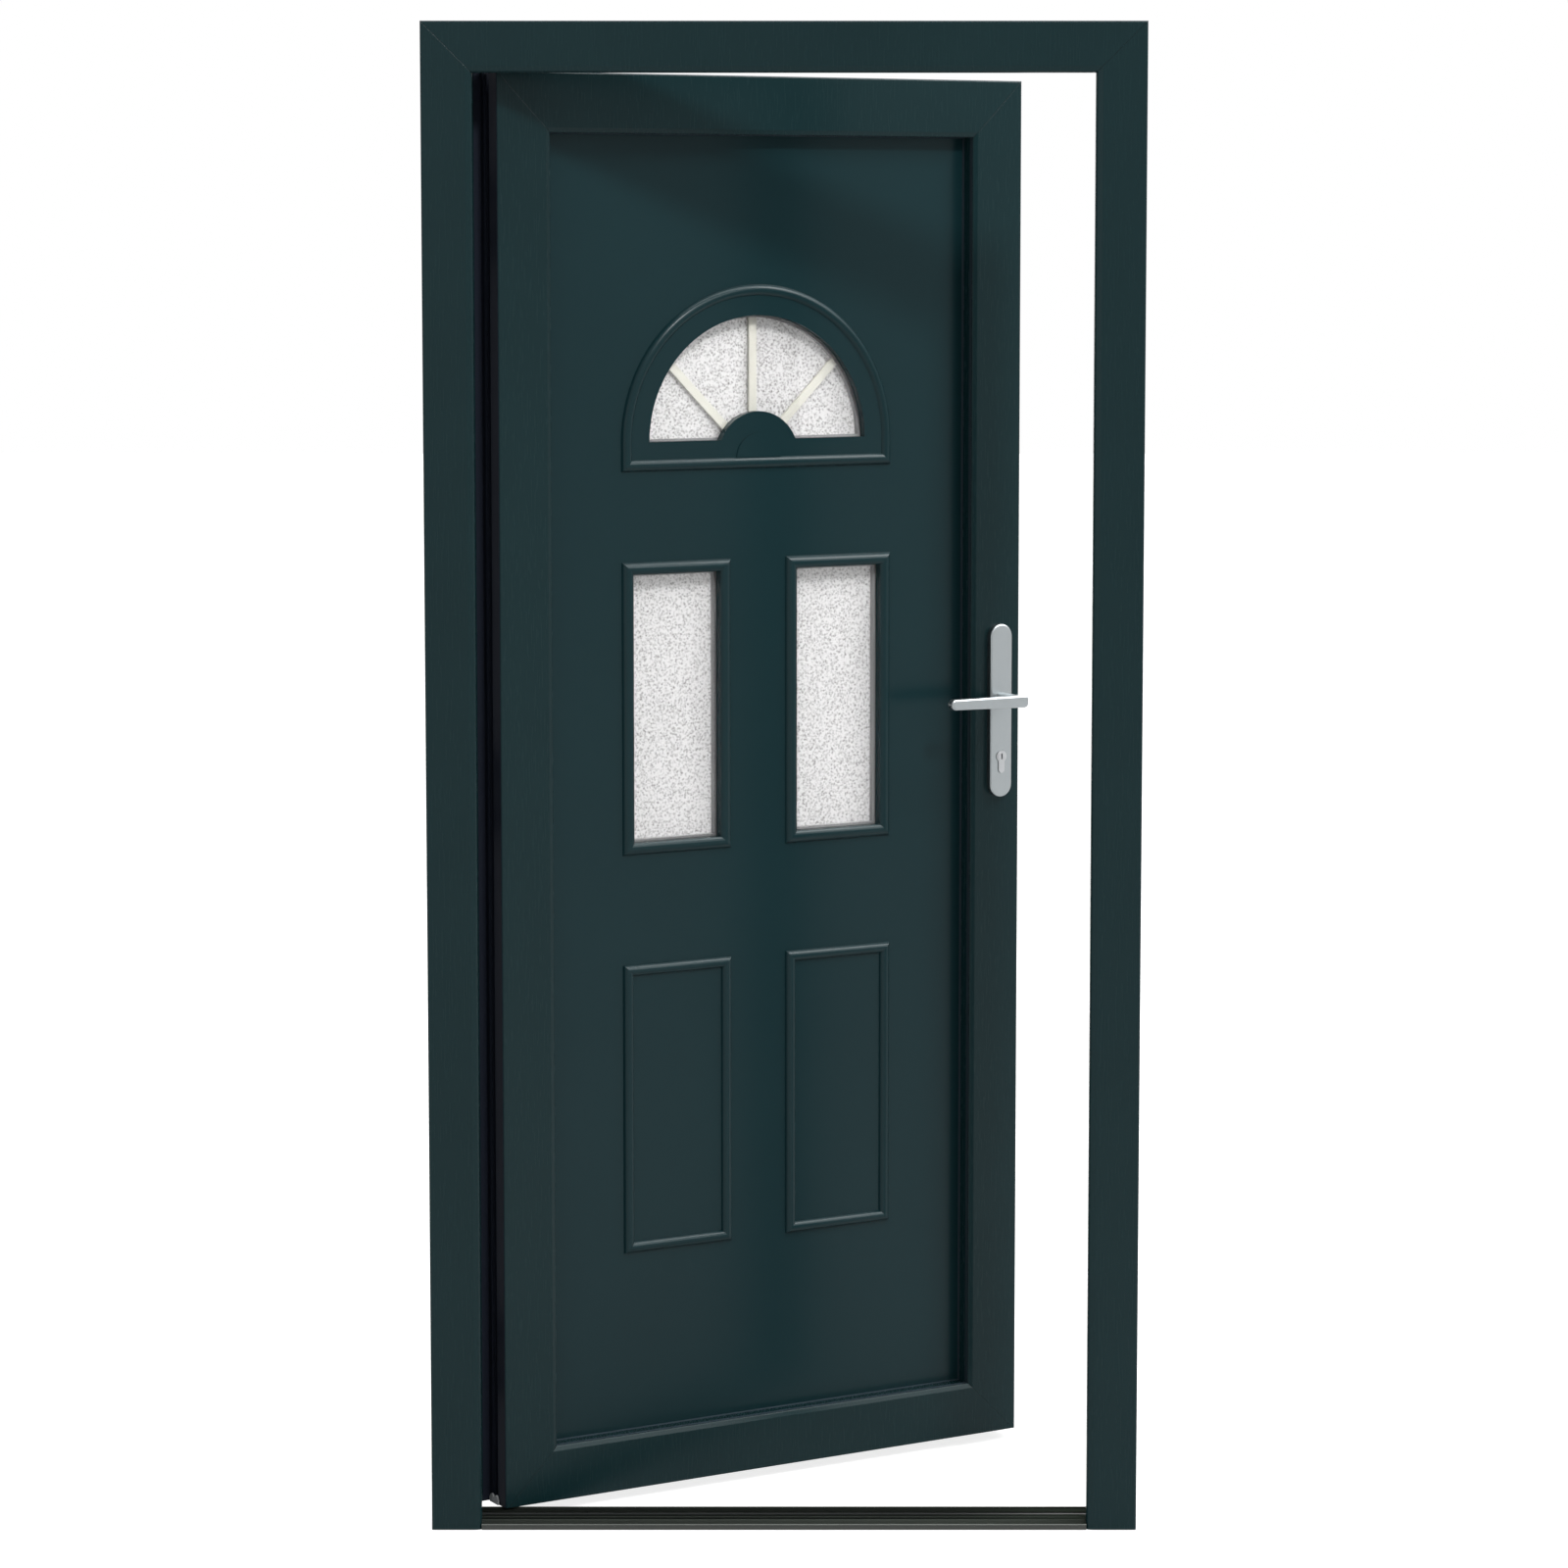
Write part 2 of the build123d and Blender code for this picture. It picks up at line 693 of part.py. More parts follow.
def unit_faces():
    """Outlines of the two window units and the fanlight unit."""
    cover = light_frame_width - light_frame_leg
    windows = [span(*inset(rect, cover)) for rect in moulding_rects(window_top)]
    return windows, half_moon(light_frame_leg)


def panes(y0, faces):
    return [front_view(face, y0, y0 + pane) for face in faces]


def window_spacers():
    parts = []
    for rect in moulding_rects(window_top):
        cover = light_frame_width - light_frame_leg
        face = span(*inset(rect, cover)) - span(*inset(rect, cover + spacer_width))
        parts.append(front_view(face, glass_front + pane, glass_back - pane))
    return parts


def fan_spacer():
    grow = light_frame_leg
    face = half_moon(grow) - half_moon(grow - spacer_width)
    return [front_view(face, glass_front + pane, glass_back - pane)]


def fan_bars():
    """Sunburst of three bars that run out from a half-round behind the hub."""
    room = half_moon(light_frame_leg - spacer_width)
    centre = Pos(leaf_middle, fan_centre_z - hub_drop)
    burst = centre * Circle(hub_radius - 10)
    for angle in (45, 90, 135):
        burst += centre * Rot(0, 0, angle) * span(0, 2 * fan_radius, -bar_width / 2, bar_width / 2)
    middle = (glass_front + glass_back) / 2
    return [front_view(burst & room, middle - bar_thickness / 2, middle + bar_thickness / 2)]


# Screws: a countersunk head and a plain shank along +Z, the head's top at the origin

def screw(length=screw_length):
    sunk = screw_head - screw_radius
    head = Pos(0, 0, -sunk / 2) * Cone(screw_radius, screw_head, sunk)
    return head + Pos(0, 0, -length / 2) * Cylinder(screw_radius - 0.1, length)


def screw_seat(length=screw_length):
    """What a screw needs to be free: the same form, a little larger."""
    sunk = screw_head - screw_radius
    head = Pos(0, 0, -sunk / 2) * Cone(screw_radius + 0.1, screw_head + 0.1, sunk)
    return head + Pos(0, 0, -(length + 2) / 2) * Cylinder(screw_radius, length + 2)


def along_y(x, y, z):
    """Place for a screw whose head faces +Y."""
    return Pos(x, y, z) * Rot(-90, 0, 0)


def along_x(x, y, z, facing):
    """Place for a screw whose head faces +X or -X."""
    return Pos(x, y, z) * Rot(0, facing * 90, 0)


# Hinges: a frame part and a leaf part on one pin, three times

def hinge_screw_places(x, y):
    return [along_y(x, y, z + offset) for z in hinge_heights for offset in (-hinge_screw_pitch, 0, hinge_screw_pitch)]


frame_screw_x = -half_width + 12
leaf_screw_x = 22.0
hinge_face_frame = back + hinge_plate
hinge_face_leaf = leaf_depth + hinge_plate


def hinge_frame_part(z):
    low, high = z - hinge_height / 2, z + hinge_height / 2
    gap = leaf_knuckle / 2 + knuckle_gap
    plate = block(-half_width + 4, hinge_x + 9, back, hinge_face_frame, low, high)
    plate = fillet(plate.edges().filter_by(Axis.Y), 3)
    part = plate
    for z0, z1 in ((low, z - gap), (z + gap, high)):
        part += rod_z(barrel_radius, hinge_x, hinge_y, z0, z1)
        part += block(hinge_x - barrel_radius, hinge_x + 1, hinge_face_frame - 1, hinge_y, z0, z1)
    part -= rod_z(pin_radius + running_gap / 2, hinge_x, hinge_y, low - 5, high + 5)
    for place in hinge_screw_places(frame_screw_x, hinge_face_frame):
        part -= place * screw_seat()
    return part


def hinge_leaf_part(z):
    half = leaf_knuckle / 2
    plate = block(4 - flange_width, 38, leaf_depth, hinge_face_leaf, z - hinge_height / 2, z + hinge_height / 2)
    plate = fillet(plate.edges().filter_by(Axis.Y), 3)
    part = plate + rod_z(barrel_radius, axis_x, axis_y, z - half, z + half)
    part += block(axis_x, 6 - flange_width, leaf_depth + 0.2, leaf_depth + barrel_radius + 1, z - half, z + half)
    part -= rod_z(pin_radius + running_gap, axis_x, axis_y, z - 60, z + 60)
    for place in hinge_screw_places(leaf_screw_x, hinge_face_leaf):
        part -= place * screw_seat()
    return part


def hinge_pins():
    pins = []
    for z in hinge_heights:
        half = hinge_height / 2
        pin = rod_z(pin_radius, hinge_x, hinge_y, z - half, z + half)
        for end in (-1, 1):
            edge = z + end * half
            cap = rod_z(barrel_radius, hinge_x, hinge_y, edge + end * 0.05, edge + end * 3)
            rim = cap.edges().filter_by(GeomType.CIRCLE).sort_by(Axis.Z)[-1 if end > 0 else 0]
            pin += fillet(rim, 1.5) + rod_z(pin_radius, hinge_x, hinge_y, edge, edge + end)
        pins.append(pin)
    return pins


# Keeps on the lock-side jamb

def keep(low, high, spans):
    """A keep on the rebate floor, with pockets for the bolts that it takes."""
    inner = half_width - body_face - keep_thickness
    middle = leaf_y + groove_centre
    body = block(inner, inner + keep_thickness, middle - keep_width / 2, middle + keep_width / 2 - 0.5, low, high)
    body = chamfer(body.edges().filter_by(Axis.Z).sort_by(Axis.X)[:2], 1.5)
    for z0, z1 in spans:
        body -= block(inner - 1, inner + keep_thickness + 1, middle - 6.2, middle + 6.2, z0, z1)
    for place in keep_screw_places():
        body -= place * screw_seat()
    return body


def hook_keep(z):
    """A keep whose mouth is lower than its pocket, so that the hook's nose is caught."""
    low, high = [pair for pair in keep_spans() if pair[0] < z < pair[1]][0]
    inner = half_width - body_face - keep_thickness
    middle = leaf_y + groove_centre
    mouth_top = z + hook_arm / 2 + 1
    body = keep(low - 16, high + 16, [(low, mouth_top)])
    return body - block(inner + 2.4, inner + keep_thickness + 1, middle - 6.2, middle + 6.2, low, high)


def keep_screw_places():
    x = half_width - body_face - keep_thickness
    y = leaf_y + groove_centre
    spans = keep_spans()
    heights = [spans[1][0] - 11, spans[0][1] + 11]
    for low, high in spans[2:]:
        heights += [low - 9, high + 9]
    return [along_x(x, y, z, -1) for z in heights]


# Handle plates, levers and cylinder

def handle_plate(outside):
    face, out = (0, -1) if outside else (leaf_depth, 1)
    radius = plate_width / 2
    slot = Pos(spindle_x, (plate_top + plate_bottom) / 2) * SlotOverall(plate_top - plate_bottom, plate_width, 90)
    slot -= euro_face(0.3)
    slot -= Pos(spindle_x, lever_z) * Circle(neck_radius + running_gap)
    y0, y1 = sorted((face, face + out * plate_thickness))
    plate = front_view(slot, y0, y1)
    shown = plate.faces().sort_by(Axis.Y)[0 if outside else -1]
    plate = fillet(shown.outer_wire().edges(), 2.5)
    core = offset(Pos(spindle_x, (plate_top + plate_bottom) / 2)
                  * SlotOverall(plate_top - plate_bottom - 6, plate_width - 6, 90), 0)
    hollow = front_view(core, *sorted((face, face + out * (plate_thickness - 3))))
    hollow -= front_view(euro_face(3), *sorted((face, face + out * plate_thickness)))
    hollow -= rod_y(neck_radius + 3, spindle_x, *sorted((face, face + out * plate_thickness)), lever_z)
    for z in plate_screw_heights():
        hollow -= rod_y(screw_head + 2, spindle_x, *sorted((face, face + out * plate_thickness)), z)
    plate -= hollow
    for z in plate_screw_heights():
        if outside:
            plate -= rod_y(screw_radius, spindle_x, -plate_thickness + 3, 0, z)
        else:
            plate -= along_y(spindle_x, leaf_depth + plate_thickness, z) * screw_seat()
    return plate


def plate_screws():
    length = leaf_depth + 2 * plate_thickness - 4
    return [along_y(spindle_x, leaf_depth + plate_thickness, z) * screw(length) for z in plate_screw_heights()]


def lever(outside):
    """A bar on a round neck, a little lower at its tip, with rounded ends and edges."""
    face, out = (0, -1) if outside else (leaf_depth, 1)
    y_near = face + out * lever_standoff
    y_far = y_near + out * lever_thickness
    over, tip = lever_overrun, -lever_length
    half, half_tip = lever_height / 2, lever_tip_height / 2
    bar = outline((over, -half), (over, half), (tip, half - 0.5), (tip, half - 0.5 - lever_tip_height))
    bar = front_view(Pos(spindle_x, lever_z) * bar, *sorted((y_near, y_far)))
    bar = fillet(bar.edges().filter_by(Axis.Y), 6.5)
    shown = bar.faces().sort_by(Axis.Y)[0 if outside else -1]
    bar = fillet(shown.edges(), 3.0)
    neck_end = face + out * 1.0
    neck = rod_y(neck_radius, spindle_x, *sorted((neck_end, y_near + out * 2)), lever_z)
    part = neck + bar
    square = spindle_size + 0.1
    room = sorted((neck_end - out, y_near - out * 6))
    return part - block(spindle_x - square / 2, spindle_x + square / 2, *room,
                        lever_z - square / 2, lever_z + square / 2)


def spindle():
    reach = lever_standoff - 7
    half = spindle_size / 2
    return block(spindle_x - half, spindle_x + half, -reach, leaf_depth + reach, lever_z - half, lever_z + half)


def cam_room():
    return rod_y(cam_radius + 1, spindle_x, groove_centre - cam_width / 2 - 0.5,
                 groove_centre + cam_width / 2 + 0.5, cylinder_z)


def cylinder_body():
    reach = plate_thickness + cylinder_proud
    body = front_view(euro_face(), -reach, leaf_depth + reach)
    body -= rod_y(plug_radius + running_gap, spindle_x, -reach - 1, leaf_depth + reach + 1, cylinder_z)
    return body - cam_room()


def cylinder_core():
    reach = plate_thickness + cylinder_proud
    core = rod_y(plug_radius, spindle_x, -reach - 0.4, leaf_depth + reach + 0.4, cylinder_z)
    for y0, y1 in ((-reach - 1, 5), (leaf_depth - 5, leaf_depth + reach + 1)):
        core -= block(spindle_x - 1, spindle_x + 1, y0, y1, cylinder_z - 4.2, cylinder_z + 4.2)
    lobe = span(-5, 5, -cam_radius + 1.2, 0)
    return core + front_view(Pos(spindle_x, cylinder_z) * lobe, groove_centre - cam_width / 2,
                             groove_centre + cam_width / 2)


# Lock

def faceplate():
    half = faceplate_width / 2
    plate = block(faceplate_x, faceplate_x + faceplate_thickness, groove_centre - half, groove_centre + half,
                  faceplate_low, faceplate_high)
    plate = fillet(plate.edges().filter_by(Axis.X), half - 0.4)
    plate -= lock_mouths()
    for place in faceplate_screw_places():
        plate -= place * screw_seat()
    return plate


def lock_mouths():
    """Mouths in the faceplate for latch, bolt and hooks."""
    x0, x1 = faceplate_x - 1, faceplate_x + faceplate_thickness + 1
    mouths = []
    for z, height, width in ((latch_z, latch_height, latch_width), (bolt_z, bolt_height, bolt_width)):
        half, tall = width / 2 + sliding_gap, height / 2 + sliding_gap
        mouths.append(block(x0, x1, groove_centre - half, groove_centre + half, z - tall, z + tall))
    half = hook_thickness / 2 + sliding_gap
    for z in hook_heights:
        mouths.append(block(x0, x1, groove_centre - half, groove_centre + half, z - hook_reach - 1,
                            z + hook_arm / 2 + hook_nose + 1))
    return mouths[0] + mouths[1:]


def faceplate_screw_places():
    x = faceplate_x + faceplate_thickness
    lower_hook, upper_hook = hook_heights
    heights = (faceplate_low + faceplate_screw_inset, (lower_hook + case_low) / 2, (upper_hook + case_high) / 2,
               faceplate_high - faceplate_screw_inset)
    return [along_x(x, groove_centre, z, 1) for z in heights]


def lock_case():
    half = case_thickness / 2
    case = block(leaf_width - case_depth, seat_x, groove_centre - half, groove_centre + half, case_low, case_high)
    for z, height, width, length in ((latch_z, latch_height, latch_width, latch_throw + 20),
                                     (bolt_z, bolt_height, bolt_width, bolt_length + 1)):
        room, tall = width / 2 + sliding_gap, height / 2 + sliding_gap
        case -= block(leaf_width - length, leaf_width, groove_centre - room, groove_centre + room,
                      z - tall, z + tall)
    case -= rod_y(spindle_size * 0.75, spindle_x, 0, leaf_depth, lever_z)
    case -= front_view(euro_face(0.3), 0, leaf_depth)
    for z in plate_screw_heights():
        case -= rod_y(screw_radius + 0.5, spindle_x, 0, leaf_depth, z)
    return case - cam_room()


def latch():
    """Latch bolt, bevelled towards the outside, so that it rides over its keep on closing."""
    low, high = groove_centre - latch_width / 2, groove_centre + latch_width / 2
    tip = leaf_width + latch_throw
    face = outline((leaf_width - 18, low), (leaf_width + 1, low), (tip, high - 1), (tip, high), (leaf_width - 18, high))
    return extrude(Plane((0, 0, latch_z - latch_height / 2)) * face, amount=latch_height)


def deadbolt():
    half, tall = bolt_width / 2, bolt_height / 2
    end = faceplate_x + faceplate_thickness
    bolt = block(end - bolt_length, end, groove_centre - half, groove_centre + half, bolt_z - tall, bolt_z + tall)
    return chamfer(bolt.edges().group_by(Axis.X)[-1], 0.8)


def hook(z):
    """Hook drawn thrown, its nose up, then turned back down into its case."""
    arm = hook_arm / 2
    reach = hook_reach
    shape = Circle(9) + span(0, reach - 1, -arm, arm)
    shape += outline((reach - 8, arm - 1), (reach, arm - 4), (reach, arm + hook_nose - 3), (reach - 2.5, arm + hook_nose),
                     (reach - 7, arm + hook_nose), (reach - 7.5, arm))
    shape -= Circle(3 + running_gap)
    half = hook_thickness / 2
    return front_view(Pos(pivot_x, z) * Rot(0, 0, -90) * shape, groove_centre - half, groove_centre + half)


def hook_case(z):
    half, room = hook_case_thickness / 2, hook_thickness / 2 + sliding_gap
    case = block(leaf_width - hook_case_depth, seat_x, groove_centre - half, groove_centre + half,
                 z - hook_case_half, z + hook_case_half)
    case -= block(pivot_x - 10, leaf_width, groove_centre - room, groove_centre + room,
                  z - hook_reach - 3, z + hook_arm / 2 + hook_nose + 4)
    return case + rod_y(3, pivot_x, groove_centre - room, groove_centre + room, z)


def drive_rods():
    """Flat rods behind the faceplate, from the lock case to the two hook cases."""
    x0 = seat_x - rod_thickness - 0.5
    lower_hook, upper_hook = hook_heights
    runs = ((lower_hook + hook_case_half + 3, case_low - rod_travel - 7),
            (case_high + 7, upper_hook - hook_case_half - rod_travel - 5))
    rods = [block(x0, x0 + rod_thickness, groove_centre - rod_width / 2, groove_centre + rod_width / 2, low, high)
            for low, high in runs]
    return [drilled(rod, faceplate_screw_places(), rod_slot()) for rod in rods]


def rod_slot():
    """Slot along a rod, as long as its travel, for a screw that passes through it."""
    half = screw_radius + sliding_gap / 2
    return block(-half, rod_travel + half, -half, half, -screw_length, 0)


# Everything by node: frame pieces stay put, leaf pieces are swung open

def drilled(body, places, tool=None):
    tool = tool or screw_seat()
    for place in places:
        body -= place * tool
    return body


def frame_nodes():
    outer, middle, inner = threshold_profiles()
    hinge_places = hinge_screw_places(frame_screw_x, hinge_face_frame)
    keep_places = keep_screw_places()
    steels = frame_steels()
    spans = keep_spans()
    nodes = {
        "jamb_hinge_side": drilled(jamb("left"), hinge_places),
        "jamb_lock_side": drilled(jamb("right"), keep_places),
        "frame_head": frame_member("top", frame_section()),
        "frame_steels": [drilled(steels[0], hinge_places), drilled(steels[1], keep_places), steels[2]],
        "threshold_outer_rail": threshold(outer),
        "threshold_thermal_break": threshold(middle),
        "threshold_inner_rail": threshold(inner),
        "threshold_end_pads": threshold_pads(),
        "frame_gasket": frame_gasket(),
        "keep_centre": keep(spans[1][0] - 20, spans[0][1] + 20, spans[:2]),
        "keep_lower": hook_keep(hook_heights[0]),
        "keep_upper": hook_keep(hook_heights[1]),
        "hinge_pins": hinge_pins(),
        "frame_screws": [place * screw() for place in hinge_places + keep_places],
    }
    for name, z in zip(("bottom", "middle", "top"), hinge_heights):
        nodes[f"hinge_{name}_frame_part"] = hinge_frame_part(z)
    return nodes


def leaf_nodes():
    windows, moon = unit_faces()
    section = leaf_section()
    hinge_places = hinge_screw_places(leaf_screw_x, hinge_face_leaf)
    plate_places = faceplate_screw_places()
    side_steels = leaf_steels(("left", "right"))
    nodes = {
        "leaf_stile_hinge_side": drilled(stile("left", section), hinge_places),
        "leaf_stile_lock_side": drilled(stile("right", section), plate_places),
        "leaf_rail_top": leaf_member("top", section),
        "leaf_rail_bottom": leaf_member("foot", section),
        "leaf_steels": [drilled(side_steels[0], hinge_places), drilled(side_steels[1], plate_places)]
        + leaf_steels(("top", "foot")),
        "leaf_seals": leaf_gasket() + bottom_seal(),
        "panel_gaskets": panel_gaskets(),
        "glazing_beads": glazing_beads(("left", "right", "top", "foot")),
        "corner_seal_blocks": corner_blocks(),
        "panel_outer_skin": panel_skin(True),
        "panel_core": panel_core(),
        "panel_inner_skin": panel_skin(False),
        "window_frames_outer": window_frames(True),
        "window_frames_inner": window_frames(False),
        "fanlight_frame_outer": fan_frame(True),
        "fanlight_frame_inner": fan_frame(False),
        "window_outer_panes": panes(glass_front, windows),
        "window_inner_panes": panes(glass_back - pane, windows),
        "glass_spacers": window_spacers() + fan_spacer(),
        "fanlight_outer_pane": panes(glass_front, [moon]),
        "fanlight_inner_pane": panes(glass_back - pane, [moon]),
        "fanlight_bars": fan_bars(),
        "handle_plate_outer": handle_plate(True),
        "handle_plate_inner": handle_plate(False),
        "handle_plate_screws": plate_screws(),
        "cylinder_body": cylinder_body(),
        "lock_faceplate": faceplate(),
        "lock_case": lock_case(),
        "hook_cases": [hook_case(z) for z in hook_heights],
        "leaf_screws": [place * screw() for place in hinge_places + plate_places],
        "lever_outer": lever(True),
        "lever_inner": lever(False),
        "spindle": spindle(),
        "latch_bolt": latch(),
        "deadbolt": deadbolt(),
        "cylinder_core": cylinder_core(),
        "drive_rods": drive_rods(),
        "hook_lower": hook(hook_heights[0]),
        "hook_upper": hook(hook_heights[1]),
    }
    for name, z in zip(("bottom", "middle", "top"), hinge_heights):
        nodes[f"hinge_{name}_leaf_part"] = hinge_leaf_part(z)
    return nodes


def save(name, shapes, place):
    if not isinstance(shapes, list):
        shapes = [shapes]
    solids = [solid for shape in shapes for solid in shape.solids()]
    moved = [place * solid for solid in solids]
    export_step(moved[0] if len(moved) == 1 else Compound(children=moved), f"parts/{name}.step")


def main():
    os.makedirs("parts", exist_ok=True)
    for name, shapes in frame_nodes().items():
        save(name, shapes, Pos(0, 0, 0))
    for name, shapes in leaf_nodes().items():
        save(name, shapes, leaf_at)


main()
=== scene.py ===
import json
from math import pi, radians

import bpy
from mathutils import Matrix, Vector


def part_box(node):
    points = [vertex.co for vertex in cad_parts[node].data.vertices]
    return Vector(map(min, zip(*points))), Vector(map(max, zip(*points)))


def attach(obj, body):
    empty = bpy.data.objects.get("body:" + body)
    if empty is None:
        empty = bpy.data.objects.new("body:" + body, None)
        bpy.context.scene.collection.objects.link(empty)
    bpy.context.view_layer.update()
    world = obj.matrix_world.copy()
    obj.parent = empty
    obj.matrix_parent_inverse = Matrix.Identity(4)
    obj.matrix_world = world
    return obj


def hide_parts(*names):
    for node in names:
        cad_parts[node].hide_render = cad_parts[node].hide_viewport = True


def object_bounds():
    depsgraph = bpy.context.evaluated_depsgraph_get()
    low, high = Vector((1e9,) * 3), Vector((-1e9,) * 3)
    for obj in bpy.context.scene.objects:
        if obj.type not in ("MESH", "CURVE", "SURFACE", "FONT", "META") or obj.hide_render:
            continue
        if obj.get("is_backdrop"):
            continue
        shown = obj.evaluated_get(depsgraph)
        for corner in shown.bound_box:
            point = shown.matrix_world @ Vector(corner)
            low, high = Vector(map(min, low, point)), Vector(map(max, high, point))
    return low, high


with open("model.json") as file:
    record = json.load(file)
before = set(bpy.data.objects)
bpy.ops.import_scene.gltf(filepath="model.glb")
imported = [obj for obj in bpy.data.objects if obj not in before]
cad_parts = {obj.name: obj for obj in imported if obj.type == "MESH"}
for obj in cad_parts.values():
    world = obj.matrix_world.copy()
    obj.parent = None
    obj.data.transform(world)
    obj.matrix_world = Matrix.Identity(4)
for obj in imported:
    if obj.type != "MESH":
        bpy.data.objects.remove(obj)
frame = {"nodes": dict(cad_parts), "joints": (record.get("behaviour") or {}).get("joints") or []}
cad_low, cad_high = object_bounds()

nodes = frame["nodes"]


# Door frame: two jambs and a head of hollow PVC profile, welded at the top corners.
# The outside is a smooth dark foil, pressed on in one long sheet. It has a faint upright grain and a
# soft satin sheen, and the weld at each mitre leaves a fine scraped line.

def colour(code):
    """A colour written as sRGB hex, in the linear values that shaders take."""
    parts = [int(code[i:i + 2], 16) / 255 for i in (1, 3, 5)]
    return [c / 12.92 if c < 0.04045 else ((c + 0.055) / 1.055) ** 2.4 for c in parts] + [1.0]


def add(tree, kind, inputs=(), **settings):
    """Add a node with its settings; each input is a value, or the socket that is linked to it."""
    made = tree.nodes.new(kind)
    for name, value in settings.items():
        setattr(made, name, value)
    for name, value in dict(inputs).items():
        if isinstance(value, bpy.types.NodeSocket):
            tree.links.new(value, made.inputs[name])
        else:
            made.inputs[name].default_value = value
    return made


def material(name, base, roughness, metallic=0.0, **shader_values):
    """A material with these plain values on its Principled shader, and its tree and shader."""
    made = bpy.data.materials.new(name)
    made.use_nodes = True
    tree = made.node_tree
    shader = tree.nodes["Principled BSDF"]
    shader.inputs["Base Color"].default_value = colour(base)
    shader.inputs["Roughness"].default_value = roughness
    shader.inputs["Metallic"].default_value = metallic
    for key, value in shader_values.items():
        shader.inputs[key.replace("_", " ")].default_value = value
    return made, tree, shader


def dress(made, *names):
    """Give a material to these pieces of the CAD model."""
    for name in names:
        for slot in nodes[name].material_slots:
            slot.material = made


swing = next(joint for joint in frame["joints"] if joint["name"] == "leaf_swing")
hinge = Vector((swing["pos_m"][0], swing["pos_m"][1], 0.0))
door_teal = "#122a2d"


def within(tree, where, low, high):
    """1 inside the box between these two corners, 0 outside it."""
    middle = (Vector(low) + Vector(high)) / 2
    half = (Vector(high) - Vector(low)) / 2
    off = add(tree, "ShaderNodeVectorMath", {0: where, 1: middle}, operation="SUBTRACT").outputs[0]
    size = add(tree, "ShaderNodeVectorMath", {0: off}, operation="ABSOLUTE").outputs[0]
    share = add(tree, "ShaderNodeVectorMath", {0: size, 1: half}, operation="DIVIDE").outputs[0]
    split = add(tree, "ShaderNodeSeparateXYZ", {"Vector": share}).outputs
    widest = add(tree, "ShaderNodeMath", {0: split["X"], 1: split["Y"]}, operation="MAXIMUM").outputs[0]
    widest = add(tree, "ShaderNodeMath", {0: widest, 1: split["Z"]}, operation="MAXIMUM").outputs[0]
    return add(tree, "ShaderNodeMath", {0: widest, 1: 1.0}, operation="LESS_THAN").outputs[0]


